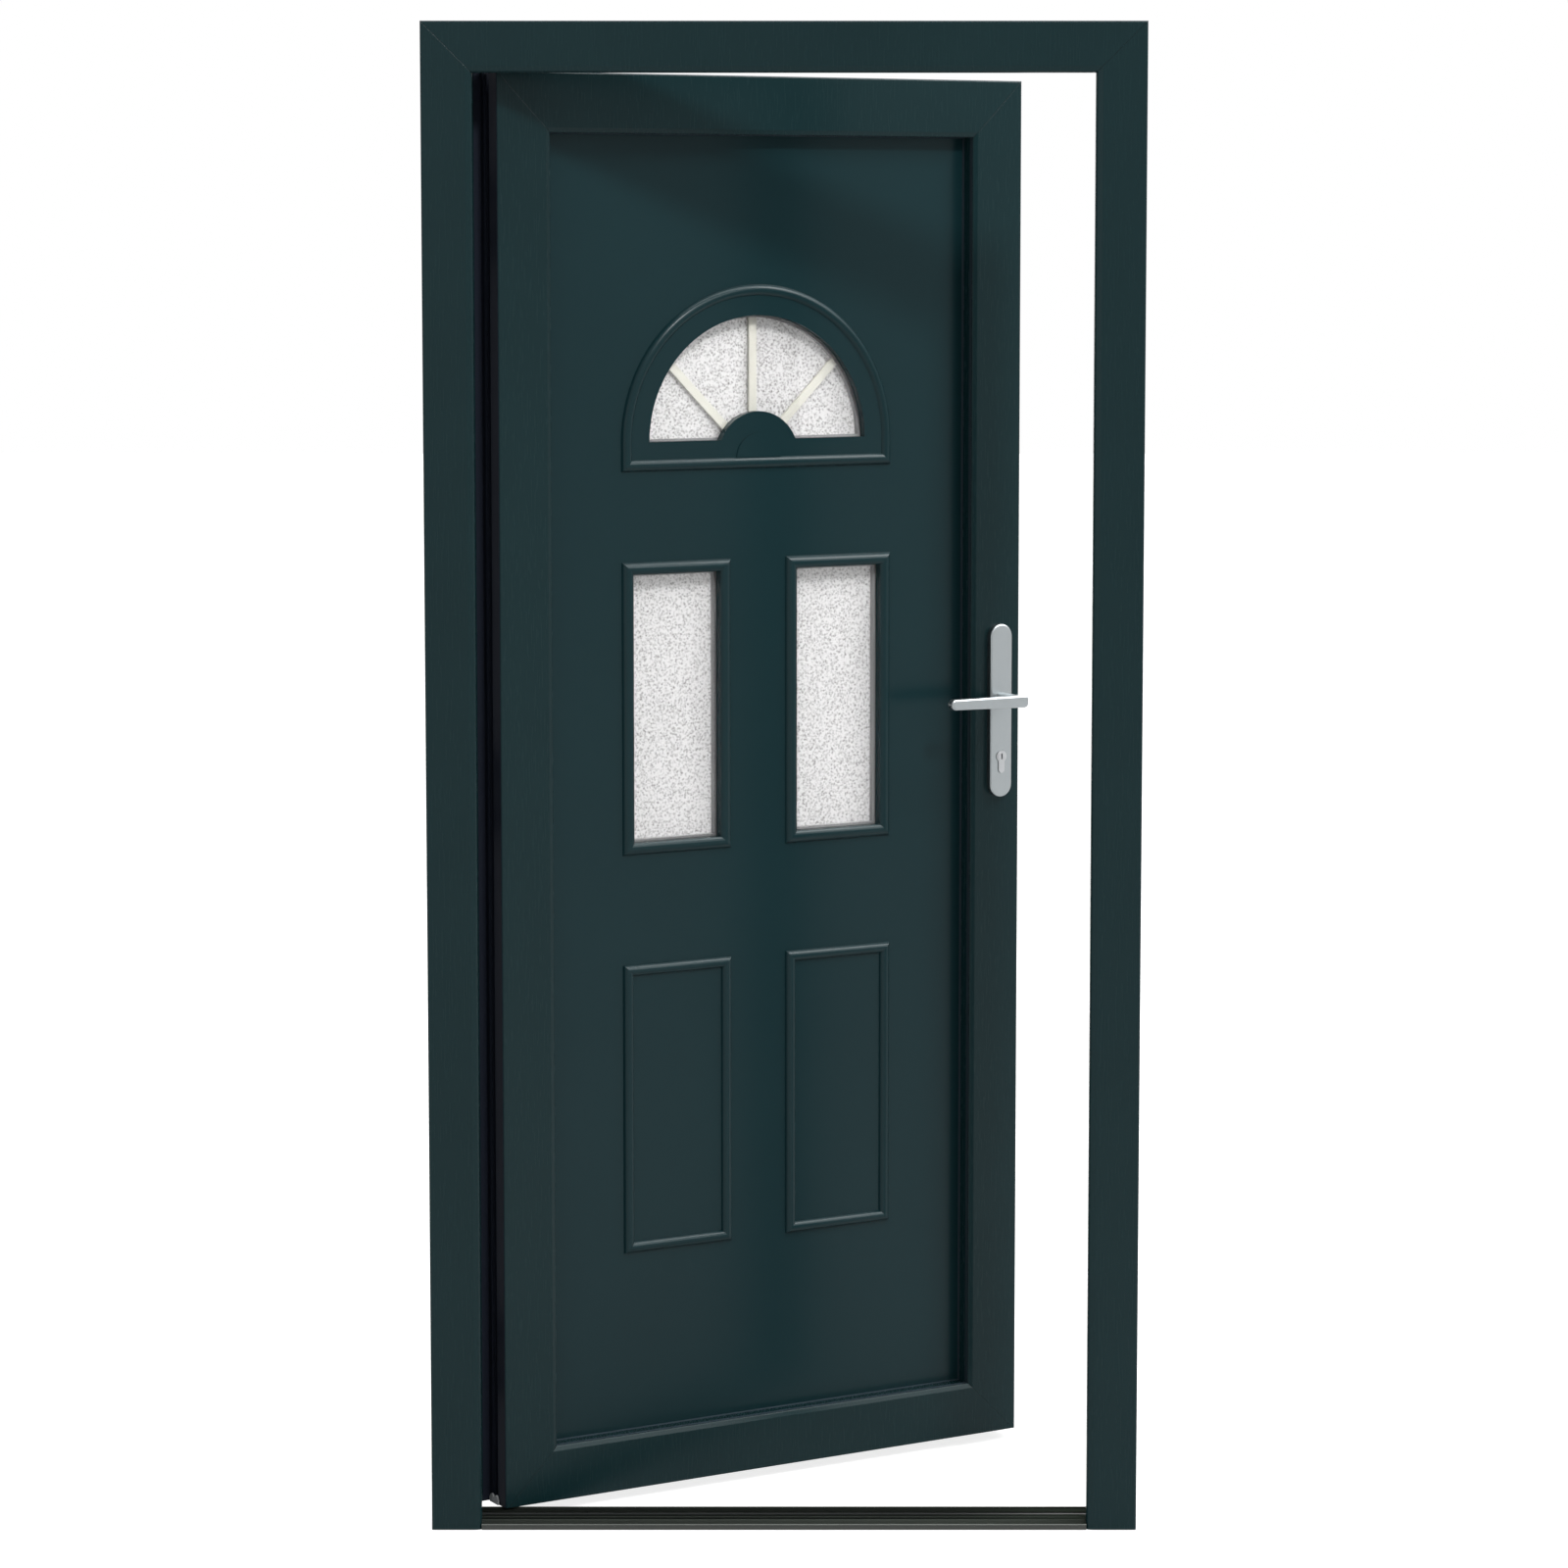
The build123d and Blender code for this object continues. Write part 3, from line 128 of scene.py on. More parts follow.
def foil(name, turned, mitres, bare):
    """Foiled profile, laid out square to the frame after it is turned back by turned.

    mitres lists (half width, height, way in) of the corners where a weld runs, and bare the boxes
    where the profile's own dark plastic shows: (low, high, low and high that foil still covers).
    """
    weld_core, weld_reach = 0.0003, 0.0010
    scraping, weld_sink = 0.4, -3.0
    bare_dullness = 0.4
    made, tree, shader = material(name, door_teal, 0.38, Specular_IOR_Level=0.12)
    where = add(tree, "ShaderNodeTexCoord").outputs["Object"]
    square = add(tree, "ShaderNodeVectorRotate", {"Vector": where, "Center": hinge, "Angle": -turned},
                 rotation_type="Z_AXIS").outputs["Vector"]
    # the film's tone drifts over some 140 mm; its grain is 2 mm across and 30 mm high
    broad = add(tree, "ShaderNodeTexNoise", {"Vector": square, "Scale": 7.0, "Detail": 2.0})
    grain_at = add(tree, "ShaderNodeMapping", {"Vector": square, "Scale": (500, 500, 34)})
    grain = add(tree, "ShaderNodeTexNoise", {"Vector": grain_at.outputs["Vector"], "Scale": 1.0,
                                             "Detail": 3.0})
    # a weld runs where the ways in from a corner's two sides are equal
    split = add(tree, "ShaderNodeSeparateXYZ", {"Vector": square}).outputs
    side = add(tree, "ShaderNodeMath", {0: split["X"]}, operation="ABSOLUTE").outputs[0]
    weld = None
    for half, height, way in mitres:
        in_x = add(tree, "ShaderNodeMath", {0: half, 1: side}, operation="SUBTRACT").outputs[0]
        in_z = add(tree, "ShaderNodeMath", {0: split["Z"], 1: way, 2: -way * height},
                   operation="MULTIPLY_ADD").outputs[0]
        apart = add(tree, "ShaderNodeMath", {0: in_x, 1: in_z}, operation="SUBTRACT").outputs[0]
        near = add(tree, "ShaderNodeMath", {0: apart}, operation="ABSOLUTE").outputs[0]
        line = add(tree, "ShaderNodeMapRange", {"Value": near, "From Min": weld_core,
                                                "From Max": weld_reach, "To Min": 1.0,
                                                "To Max": 0.0}).outputs["Result"]
        weld = line if weld is None else add(tree, "ShaderNodeMath", {0: weld, 1: line},
                                             operation="MAXIMUM").outputs[0]
    raw = None
    for low, high, foiled_low, foiled_high in bare:
        box = within(tree, square, low, high)
        foiled = within(tree, square, foiled_low, foiled_high)
        here = add(tree, "ShaderNodeMath", {0: box, 1: foiled}, operation="SUBTRACT",
                   use_clamp=True).outputs[0]
        raw = here if raw is None else add(tree, "ShaderNodeMath", {0: raw, 1: here},
                                           operation="MAXIMUM").outputs[0]
    film = add(tree, "ShaderNodeMix", {"Factor": broad.outputs["Fac"], 6: colour("#0e2528"),
                                       7: colour(door_teal)}, data_type="RGBA")
    scraped_by = add(tree, "ShaderNodeMath", {0: weld, 1: scraping}, operation="MULTIPLY").outputs[0]
    scraped = add(tree, "ShaderNodeMix", {"Factor": scraped_by, 6: film.outputs[2],
                                          7: colour("#0c1c1f")}, data_type="RGBA")
    body = add(tree, "ShaderNodeMix", {"Factor": raw, 6: scraped.outputs[2], 7: colour("#191e29")},
               data_type="RGBA")
    tree.links.new(body.outputs[2], shader.inputs["Base Color"])
    sheen = add(tree, "ShaderNodeMapRange", {"Value": grain.outputs["Fac"], "To Min": 0.22,
                                             "To Max": 0.31})
    dull = add(tree, "ShaderNodeMath", {0: raw, 1: bare_dullness, 2: sheen.outputs["Result"]},
               operation="MULTIPLY_ADD")
    tree.links.new(dull.outputs[0], shader.inputs["Roughness"])
    relief = add(tree, "ShaderNodeMath", {0: weld, 1: weld_sink, 2: grain.outputs["Fac"]},
                 operation="MULTIPLY_ADD")
    arris = add(tree, "ShaderNodeBevel", {"Radius": 0.0015}, samples=4)
    bump = add(tree, "ShaderNodeBump", {"Height": relief.outputs[0], "Strength": 0.12,
                                        "Distance": 0.0002, "Normal": arris.outputs["Normal"]})
    tree.links.new(bump.outputs["Normal"], shader.inputs["Normal"])
    return made


# a box goes slack past a face that it takes in, and stops slack short of one that it leaves out; the
# foil wraps a little round each outer edge before it ends
slack, wrap = 0.0005, 0.001
frame_half, frame_top = cad_high[0], cad_high[2]
frame_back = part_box("jamb_lock_side")[1][1]
jamb_face, head_face, lip_back = 0.437, 2.027, -0.015
far_off, deep_down = 3.0, -1.0

# bare are the rebate that the leaf closes into, and the three sides that meet the wall
rebate = ((-jamb_face - slack, lip_back + slack, deep_down),
          (jamb_face + slack, frame_back - slack, head_face + slack))
covers_nothing = ((-1, -1, -10), (1, 1, -8))
depth = ((-far_off, wrap - frame_back, deep_down), (far_off, frame_back - wrap, far_off))
outline = ((slack - frame_half, -far_off, deep_down), (frame_half - slack, far_off, frame_top - slack))
frame_foil = foil("foiled_pvc_frame", 0.0, [(frame_half, frame_top, -1)],
                  [(*rebate, *covers_nothing), (*depth, *outline)])
dress(frame_foil, "jamb_hinge_side", "jamb_lock_side", "frame_head")


# Steel tubes inside the profiles: rolled strip, hot-dip galvanised.
# The zinc freezes in flat crystals about 8 mm across, each a little duller or brighter than the next.

zinc, tree, shader = material("galvanised_steel", "#a3a7a9", 0.45, 1.0)
where = add(tree, "ShaderNodeTexCoord").outputs["Object"]
crystals = add(tree, "ShaderNodeTexVoronoi", {"Vector": where, "Scale": 125.0})
tone = add(tree, "ShaderNodeMapRange", {"Value": crystals.outputs["Color"], "To Min": 0.32,
                                        "To Max": 0.55})
tree.links.new(tone.outputs["Result"], shader.inputs["Roughness"])
dress(zinc, "frame_steels", "leaf_steels")


# Threshold: two extruded aluminium rails, dark anodised, on a black plastic thermal break.
# Extruding draws fine lines along the rail, so it is smoother along its length than across it. Its
# front edge is painted lighter, as a highlight.

nose_front, nose_height, nose_highlight_reach = cad_low[1], 0.0085, 0.0008
anodised, tree, shader = material("anodised_aluminium", "#262926", 0.5, 1.0,
                                  Specular_Tint=(0.4, 0.4, 0.4, 1.0))
where = add(tree, "ShaderNodeTexCoord").outputs["Object"]
# painted highlight: a lighter band along the rail's front edge, where its nose catches the light
nose_highlight_band = within(tree, where, (-1, nose_front - nose_highlight_reach, -nose_height),
                    (1, nose_front + nose_highlight_reach, nose_height))
rail_with_highlight = add(tree, "ShaderNodeMix", {"Factor": nose_highlight_band, 6: colour("#262926"), 7: colour("#404240")},
           data_type="RGBA")
tree.links.new(rail_with_highlight.outputs[2], shader.inputs["Base Color"])
# the lines are finer on the real rail; here they are 1.1 mm apart and 170 mm long, so that they show
drawn = add(tree, "ShaderNodeMapping", {"Vector": where, "Scale": (6, 900, 900)})
lines = add(tree, "ShaderNodeTexNoise", {"Vector": drawn.outputs["Vector"], "Scale": 1.0,
                                         "Detail": 4.0})
tone = add(tree, "ShaderNodeMapRange", {"Value": lines.outputs["Fac"], "To Min": 0.42, "To Max": 0.6})
tree.links.new(tone.outputs["Result"], shader.inputs["Roughness"])
bump = add(tree, "ShaderNodeBump", {"Height": lines.outputs["Fac"], "Strength": 0.25,
                                    "Distance": 0.0001})
tree.links.new(bump.outputs["Normal"], shader.inputs["Normal"])
dress(anodised, "threshold_outer_rail", "threshold_inner_rail")

# glass fibres leave the plastic matt, with flecks about 1 mm across
glass_filled, tree, shader = material("glass_filled_nylon", "#101111", 0.55, Specular_IOR_Level=0.3)
where = add(tree, "ShaderNodeTexCoord").outputs["Object"]
flecks = add(tree, "ShaderNodeTexNoise", {"Vector": where, "Scale": 900.0, "Detail": 2.0})
bump = add(tree, "ShaderNodeBump", {"Height": flecks.outputs["Fac"], "Strength": 0.2,
                                    "Distance": 0.0002})
tree.links.new(bump.outputs["Normal"], shader.inputs["Normal"])
dress(glass_filled, "threshold_thermal_break")


# Seals: black EPDM rubber, extruded, pushed into grooves in the profiles and cut at the corners.
# Bloom and talc leave it matt, with slightly greyer upright streaks, 4 mm across and 45 mm long.

epdm, tree, shader = material("epdm_rubber", "#20292f", 0.72, Specular_IOR_Level=0.15)
where = add(tree, "ShaderNodeTexCoord").outputs["Object"]
streaks_at = add(tree, "ShaderNodeMapping", {"Vector": where, "Scale": (260, 260, 22)})
streaks = add(tree, "ShaderNodeTexNoise", {"Vector": streaks_at.outputs["Vector"], "Scale": 1.0,
                                           "Detail": 3.0})
tone = add(tree, "ShaderNodeMix", {"Factor": streaks.outputs["Fac"], 6: colour("#1a242a"),
                                   7: colour("#253138")}, data_type="RGBA")
tree.links.new(tone.outputs[2], shader.inputs["Base Color"])
bump = add(tree, "ShaderNodeBump", {"Height": streaks.outputs["Fac"], "Strength": 0.15,
                                    "Distance": 0.0002})
tree.links.new(bump.outputs["Normal"], shader.inputs["Normal"])
dress(epdm, "frame_gasket", "leaf_seals", "panel_gaskets", "threshold_end_pads")


# Leaf frame: two stiles and two rails of the same foiled profile, with welded mitres.
# It stands 30 degrees open, so its grain and weld lines are laid out on the turned leaf. Its foot is
# trimmed after welding, so the lower mitres run from a little below it.

ajar = radians(-swing["range_deg"][0])
leaf_half, leaf_top, welded_foot = 0.425, 2.015, 0.011
leaf_front = -0.0105

# bare are the edges of the stiles and the top, from the foil's wrap to the flange and as far as its
# seal, and no more than 25 mm in from the leaf's outline
flange_front, seal_side, bare_rim = 0.0403, 0.436, 0.025
leaf_depth = ((-seal_side, leaf_front + wrap, deep_down), (seal_side, flange_front, far_off))
leaf_middle = ((bare_rim - leaf_half, -1, 0.010), (leaf_half - bare_rim, 1, leaf_top - bare_rim))
leaf_foil = foil("foiled_pvc_leaf", ajar, [(leaf_half, leaf_top, -1), (leaf_half, welded_foot, 1)],
                 [(*leaf_depth, *leaf_middle)])
dress(leaf_foil, "leaf_stile_hinge_side", "leaf_stile_lock_side", "leaf_rail_top", "leaf_rail_bottom",
      "glazing_beads")


# Sealing blocks in the foot of the leaf's groove: closed-cell grey foam rubber, cut with a knife.
# The cut cells, about 1 mm across, give it a fine open grain.

foam_rubber, tree, shader = material("foam_rubber", "#9ea1a3", 0.8)
where = add(tree, "ShaderNodeTexCoord").outputs["Object"]
cells = add(tree, "ShaderNodeTexVoronoi", {"Vector": where, "Scale": 900.0})
bump = add(tree, "ShaderNodeBump", {"Height": cells.outputs["Distance"], "Strength": 0.4,
                                    "Distance": 0.0004})
tree.links.new(bump.outputs["Normal"], shader.inputs["Normal"])
dress(foam_rubber, "corner_seal_blocks")


# Panel: skins of ABS sheet, vacuum formed with their mouldings over a foam core, and light frames
# injection moulded in the same colour. Formed ABS is a touch glossier than foil. Its flat areas swell
# a little over some 250 mm, and its surface ripples finely, 2 mm from crest to crest.

abs_sheet, tree, shader = material("formed_abs", door_teal, 0.36, Specular_IOR_Level=0.12)
unevenness = 6.0
where = add(tree, "ShaderNodeTexCoord").outputs["Object"]
broad = add(tree, "ShaderNodeTexNoise", {"Vector": where, "Scale": 4.0, "Detail": 2.0})
fine = add(tree, "ShaderNodeTexNoise", {"Vector": where, "Scale": 450.0, "Detail": 2.0})
tone = add(tree, "ShaderNodeMix", {"Factor": broad.outputs["Fac"], 6: colour("#11292d"),
                                   7: colour("#132d31")}, data_type="RGBA")
tree.links.new(tone.outputs[2], shader.inputs["Base Color"])
sheen = add(tree, "ShaderNodeMapRange", {"Value": fine.outputs["Fac"], "To Min": 0.20, "To Max": 0.29})
tree.links.new(sheen.outputs["Result"], shader.inputs["Roughness"])
swell = add(tree, "ShaderNodeMath", {0: broad.outputs["Fac"], 1: unevenness, 2: fine.outputs["Fac"]},
            operation="MULTIPLY_ADD")
bump = add(tree, "ShaderNodeBump", {"Height": swell.outputs[0], "Strength": 0.1, "Distance": 0.0003})
tree.links.new(bump.outputs["Normal"], shader.inputs["Normal"])
dress(abs_sheet, "panel_outer_skin", "panel_inner_skin", "window_frames_outer", "window_frames_inner",
      "fanlight_frame_outer", "fanlight_frame_inner")

# the core's cells are drawn 1.4 mm across, larger than they are, so that they show
foam, tree, shader = material("polyurethane_foam", "#d8cda4", 0.9)
where = add(tree, "ShaderNodeTexCoord").outputs["Object"]
cells = add(tree, "ShaderNodeTexVoronoi", {"Vector": where, "Scale": 700.0})
bump = add(tree, "ShaderNodeBump", {"Height": cells.outputs["Distance"], "Strength": 0.5,
                                    "Distance": 0.0005})
tree.links.new(bump.outputs["Normal"], shader.inputs["Normal"])
dress(foam, "panel_core")


# Sealed glass units: a clear float pane outside and an obscure patterned pane inside.
# The inner pane was rolled while soft, so its face is a dense field of small lumps, 3 to 4 mm across,
# that scatter the daylight behind it. Rays for shadows go straight through the clear pane.

float_glass, tree, shader = material("float_glass", "#ffffff", 0.0, Transmission_Weight=1.0, IOR=1.45)
light_ray = add(tree, "ShaderNodeLightPath")
through = add(tree, "ShaderNodeBsdfTransparent", {"Color": colour("#f6f6f6")})
either = add(tree, "ShaderNodeMixShader", {0: light_ray.outputs["Is Shadow Ray"], 1: shader.outputs[0],
                                           2: through.outputs[0]})
tree.links.new(either.outputs[0], tree.nodes["Material Output"].inputs["Surface"])
dress(float_glass, "window_outer_panes", "fanlight_outer_pane")

pit_share = 0.45
rolled, tree, shader = material("rolled_obscure_glass", "#c4c4c6", 0.3, Transmission_Weight=0.2, IOR=1.5)
where = add(tree, "ShaderNodeTexCoord").outputs["Object"]
lumps = add(tree, "ShaderNodeTexNoise", {"Vector": where, "Scale": 310.0, "Detail": 2.0,
                                         "Roughness": 0.7})
pits = add(tree, "ShaderNodeTexVoronoi", {"Vector": where, "Scale": 250.0, "Randomness": 1.0})
mixed = add(tree, "ShaderNodeMath", {0: pits.outputs["Distance"], 1: pit_share,
                                     2: lumps.outputs["Fac"]}, operation="MULTIPLY_ADD")
tone = add(tree, "ShaderNodeValToRGB", {"Fac": mixed.outputs[0]})
for stop, (position, shade) in zip(tone.color_ramp.elements, ((0.40, "#5d5b59"), (0.80, "#d7d6d6"))):
    stop.position = position
    stop.color = colour(shade)
tree.links.new(tone.outputs["Color"], shader.inputs["Base Color"])
bump = add(tree, "ShaderNodeBump", {"Height": mixed.outputs[0], "Strength": 0.6, "Distance": 0.001})
tree.links.new(bump.outputs["Normal"], shader.inputs["Normal"])
dress(rolled, "window_inner_panes", "fanlight_inner_pane")


# Sunburst bars in the half-round light: roll-formed aluminium, coated in cream white.
# The coat is smooth and even, with only a trace of orange peel, under 2 mm from crest to crest.

coated, tree, shader = material("cream_coated_aluminium", "#bbbab1", 0.4)
where = add(tree, "ShaderNodeTexCoord").outputs["Object"]
peel = add(tree, "ShaderNodeTexNoise", {"Vector": where, "Scale": 600.0, "Detail": 1.0})
bump = add(tree, "ShaderNodeBump", {"Height": peel.outputs["Fac"], "Strength": 0.1,
                                    "Distance": 0.0002})
tree.links.new(bump.outputs["Normal"], shader.inputs["Normal"])
dress(coated, "fanlight_bars")


# Spacers round the glass units: foamed silicone, grey, which holds the panes apart.
# It is matt, with a fine foamed grain, about 1 mm across.

silicone, tree, shader = material("foamed_silicone", "#8f8f90", 0.75)
where = add(tree, "ShaderNodeTexCoord").outputs["Object"]
foamed = add(tree, "ShaderNodeTexNoise", {"Vector": where, "Scale": 1100.0, "Detail": 2.0})
bump = add(tree, "ShaderNodeBump", {"Height": foamed.outputs["Fac"], "Strength": 0.3,
                                    "Distance": 0.0002})
tree.links.new(bump.outputs["Normal"], shader.inputs["Normal"])
dress(silicone, "glass_spacers")


# Hinges: pressed and turned steel, powder coated to match the door.
# Powder melts to a hard coat with fine orange peel, about 1.5 mm from crest to crest.

powder, tree, shader = material("powder_coat", door_teal, 0.42, Specular_IOR_Level=0.2)
where = add(tree, "ShaderNodeTexCoord").outputs["Object"]
peel = add(tree, "ShaderNodeTexNoise", {"Vector": where, "Scale": 650.0, "Detail": 1.0})
sheen = add(tree, "ShaderNodeMapRange", {"Value": peel.outputs["Fac"], "To Min": 0.34, "To Max": 0.5})
tree.links.new(sheen.outputs["Result"], shader.inputs["Roughness"])
bump = add(tree, "ShaderNodeBump", {"Height": peel.outputs["Fac"], "Strength": 0.25,
                                    "Distance": 0.0003})
tree.links.new(bump.outputs["Normal"], shader.inputs["Normal"])
dress(powder, "hinge_top_frame_part", "hinge_middle_frame_part", "hinge_bottom_frame_part",
      "hinge_top_leaf_part", "hinge_middle_leaf_part", "hinge_bottom_leaf_part", "hinge_pins")


# Lock, keeps and rods: steel strip and castings, zinc plated and passivated.
# The plating is bright but slightly cloudy over some 20 mm, with faint lines from the rolling, 2.5 mm
# across and 80 mm long.

line_share = 0.5
plated, tree, shader = material("zinc_plated_steel", "#a2a6a9", 0.34, 1.0)
where = add(tree, "ShaderNodeTexCoord").outputs["Object"]
rolled_at = add(tree, "ShaderNodeMapping", {"Vector": where, "Scale": (400, 400, 12)})
lines = add(tree, "ShaderNodeTexNoise", {"Vector": rolled_at.outputs["Vector"], "Scale": 1.0,
                                         "Detail": 3.0})
cloud = add(tree, "ShaderNodeTexNoise", {"Vector": where, "Scale": 45.0, "Detail": 2.0})
blend = add(tree, "ShaderNodeMath", {0: lines.outputs["Fac"], 1: line_share, 2: cloud.outputs["Fac"]},
            operation="MULTIPLY_ADD")
sheen = add(tree, "ShaderNodeMapRange", {"Value": blend.outputs[0], "From Min": 0.4, "From Max": 1.1,
                                         "To Min": 0.22, "To Max": 0.46})
tree.links.new(sheen.outputs["Result"], shader.inputs["Roughness"])
dress(plated, "lock_faceplate", "lock_case", "hook_cases", "drive_rods", "keep_centre", "keep_lower",
      "keep_upper", "spindle", "latch_bolt", "deadbolt", "hook_lower", "hook_upper")


# Screws: countersunk, with a cross recess, cold headed from wire, zinc plated like the lock.
# They hold the hinges, keeps, faceplate and inside handle plate; their recesses stand at any angle,
# as a driver leaves them.

head_sides, shank_sides = 28, 20
shank_top, shank_share, tip_share = 0.04, 0.84, 0.14
shank_taper, tip_taper, tip_radius = 0.95, 0.93, 0.0003

screws = bpy.data.node_groups.new("countersunk_screws", "GeometryNodeTree")
face = screws.interface
face.new_socket("Places", in_out="INPUT", socket_type="NodeSocketGeometry")
for size in ("Head Radius", "Shank Radius", "Head Depth", "Length", "Recess Width", "Recess Blade",
             "Recess Depth"):
    face.new_socket(size, in_out="INPUT", socket_type="NodeSocketFloat")
face.new_socket("Metal", in_out="INPUT", socket_type="NodeSocketMaterial")
face.new_socket("Screws", in_out="OUTPUT", socket_type="NodeSocketGeometry")
given = add(screws, "NodeGroupInput").outputs

# the origin is the middle of the head's face, and the screw points down from there
lower = add(screws, "ShaderNodeMath", {0: given["Head Depth"], 1: -1.0}, operation="MULTIPLY").outputs[0]
head = add(screws, "GeometryNodeMeshCone", {"Vertices": head_sides, "Radius Top": given["Head Radius"],
                                            "Radius Bottom": given["Shank Radius"],
                                            "Depth": given["Head Depth"]})
head_at = add(screws, "ShaderNodeCombineXYZ", {"Z": lower}).outputs[0]
head = add(screws, "GeometryNodeTransform", {"Geometry": head.outputs["Mesh"], "Translation": head_at})
middle = add(screws, "ShaderNodeMath", {0: given["Length"], 1: -shank_top - shank_share / 2},
             operation="MULTIPLY").outputs[0]
trunk = add(screws, "ShaderNodeMath", {0: given["Length"], 1: shank_share},
            operation="MULTIPLY").outputs[0]
shank = add(screws, "GeometryNodeMeshCylinder", {"Vertices": shank_sides,
                                                 "Radius": given["Shank Radius"], "Depth": trunk})
shank_at = add(screws, "ShaderNodeCombineXYZ", {"Z": middle}).outputs[0]
shank = add(screws, "GeometryNodeTransform", {"Geometry": shank.outputs["Mesh"],
                                              "Translation": shank_at,
                                              "Scale": (shank_taper, shank_taper, 1.0)})
tip_low = add(screws, "ShaderNodeMath", {0: given["Length"], 1: -1.0}, operation="MULTIPLY").outputs[0]
tip_deep = add(screws, "ShaderNodeMath", {0: given["Length"], 1: tip_share},
               operation="MULTIPLY").outputs[0]
tip = add(screws, "GeometryNodeMeshCone", {"Vertices": shank_sides, "Radius Top": given["Shank Radius"],
                                           "Radius Bottom": tip_radius, "Depth": tip_deep})
tip_at = add(screws, "ShaderNodeCombineXYZ", {"Z": tip_low}).outputs[0]
tip = add(screws, "GeometryNodeTransform", {"Geometry": tip.outputs["Mesh"], "Translation": tip_at,
                                            "Scale": (tip_taper, tip_taper, 1.0)})
solid = add(screws, "GeometryNodeMeshBoolean", operation="UNION", solver="EXACT")
for piece in (tip, shank, head):
    screws.links.new(piece.outputs["Geometry"], solid.inputs["Mesh 2"])

# two crossed blades cut the recess, as deep below the face as they stand above it
twice = add(screws, "ShaderNodeMath", {0: given["Recess Depth"], 1: 2.0},
            operation="MULTIPLY").outputs[0]
recess = add(screws, "GeometryNodeMeshBoolean", {"Mesh 1": solid.outputs["Mesh"]},
             operation="DIFFERENCE", solver="EXACT")
for across, along in (("Recess Width", "Recess Blade"), ("Recess Blade", "Recess Width")):
    blade_size = add(screws, "ShaderNodeCombineXYZ", {"X": given[across], "Y": given[along], "Z": twice})
    blade = add(screws, "GeometryNodeMeshCube", {"Size": blade_size.outputs[0]})
    screws.links.new(blade.outputs["Mesh"], recess.inputs["Mesh 2"])

facing = add(screws, "GeometryNodeInputNamedAttribute", {"Name": "facing"}, data_type="FLOAT_VECTOR")
upright = add(screws, "FunctionNodeAlignRotationToVector", {"Vector": facing.outputs["Attribute"]},
              axis="Z")
driven = add(screws, "FunctionNodeRandomValue", {2: 0.0, 3: pi / 2, "Seed": 7},
             data_type="FLOAT").outputs[1]
turn = add(screws, "ShaderNodeCombineXYZ", {"Z": driven}).outputs[0]
turn = add(screws, "FunctionNodeEulerToRotation", {"Euler": turn}).outputs[0]
turned_at = add(screws, "FunctionNodeRotateRotation", {"Rotation": upright.outputs["Rotation"],
                                                       "Rotate By": turn}, rotation_space="LOCAL")
each = add(screws, "GeometryNodeInstanceOnPoints", {"Points": given["Places"],
                                                    "Instance": recess.outputs["Mesh"],
                                                    "Rotation": turned_at.outputs["Rotation"]})
real = add(screws, "GeometryNodeRealizeInstances", {"Geometry": each.outputs["Instances"]})
metal = add(screws, "GeometryNodeSetMaterial", {"Geometry": real.outputs["Geometry"],
                                                "Material": given["Metal"]})
add(screws, "NodeGroupOutput", {"Screws": metal.outputs["Geometry"]})


def screw_set(name, places, body, replaced, length):
    """Screws at these places, each (point, way the head faces), as one mesh that rides on body."""
    points = bpy.data.meshes.new(name)
    points.from_pydata([point for point, way in places], [], [])
    ways = points.attributes.new("facing", "FLOAT_VECTOR", "POINT")
    ways.data.foreach_set("vector", [part for point, way in places for part in way])
    made = bpy.data.objects.new(name, points)
    bpy.context.scene.collection.objects.link(made)
    sizes = {"Head Radius": 0.0040, "Shank Radius": 0.0021, "Head Depth": 0.0019, "Length": length,
             "Recess Width": 0.0042, "Recess Blade": 0.0009, "Recess Depth": 0.0017, "Metal": plated}
    modifier = made.modifiers.new("screws", "NODES")
    modifier.node_group = screws
    for item in screws.interface.items_tree:
        if item.in_out == "INPUT" and item.name in sizes:
            modifier[item.identifier] = sizes[item.name]
    seen = made.evaluated_get(bpy.context.evaluated_depsgraph_get())
    made.data = bpy.data.meshes.new_from_object(seen)
    made.modifiers.clear()
    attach(made, body)
    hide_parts(replaced)


leaf_frame = (Matrix.Translation(hinge) @ Matrix.Rotation(ajar, 4, "Z")
              @ Matrix.Translation((-leaf_half - hinge.x, leaf_front - hinge.y, 0.0)))


def on_leaf(x, y, z, way):
    """A place on the leaf, from its own hinge edge, outer face and foot."""
    return leaf_frame @ Vector((x, y, z)), leaf_frame.to_3x3() @ Vector(way)


inwards, from_lock, to_hinge = Vector((0, 1, 0)), Vector((1, 0, 0)), Vector((-1, 0, 0))
short_screw, plate_screw = 0.026, 0.086
screw_pitch = 0.038

hinge_screw_heights = []
for place in ("bottom", "middle", "top"):
    low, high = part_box(f"hinge_{place}_frame_part")
    centre = (low[2] + high[2]) / 2
    hinge_screw_heights += [centre - screw_pitch, centre, centre + screw_pitch]

jamb_x, jamb_back = -0.478, 0.039
frame_places = [(Vector((jamb_x, jamb_back, z)), inwards) for z in hinge_screw_heights]
keep_face, keep_middle = 0.430, 0.0215
for keep, from_end in (("keep_lower", 0.007), ("keep_centre", 0.009), ("keep_upper", 0.007)):
    low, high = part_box(keep)
    for z in (low[2] + from_end, high[2] - from_end):
        frame_places.append((Vector((keep_face, keep_middle, z)), to_hinge))
screw_set("frame_screw_set", frame_places, "frame", "frame_screws", short_screw)

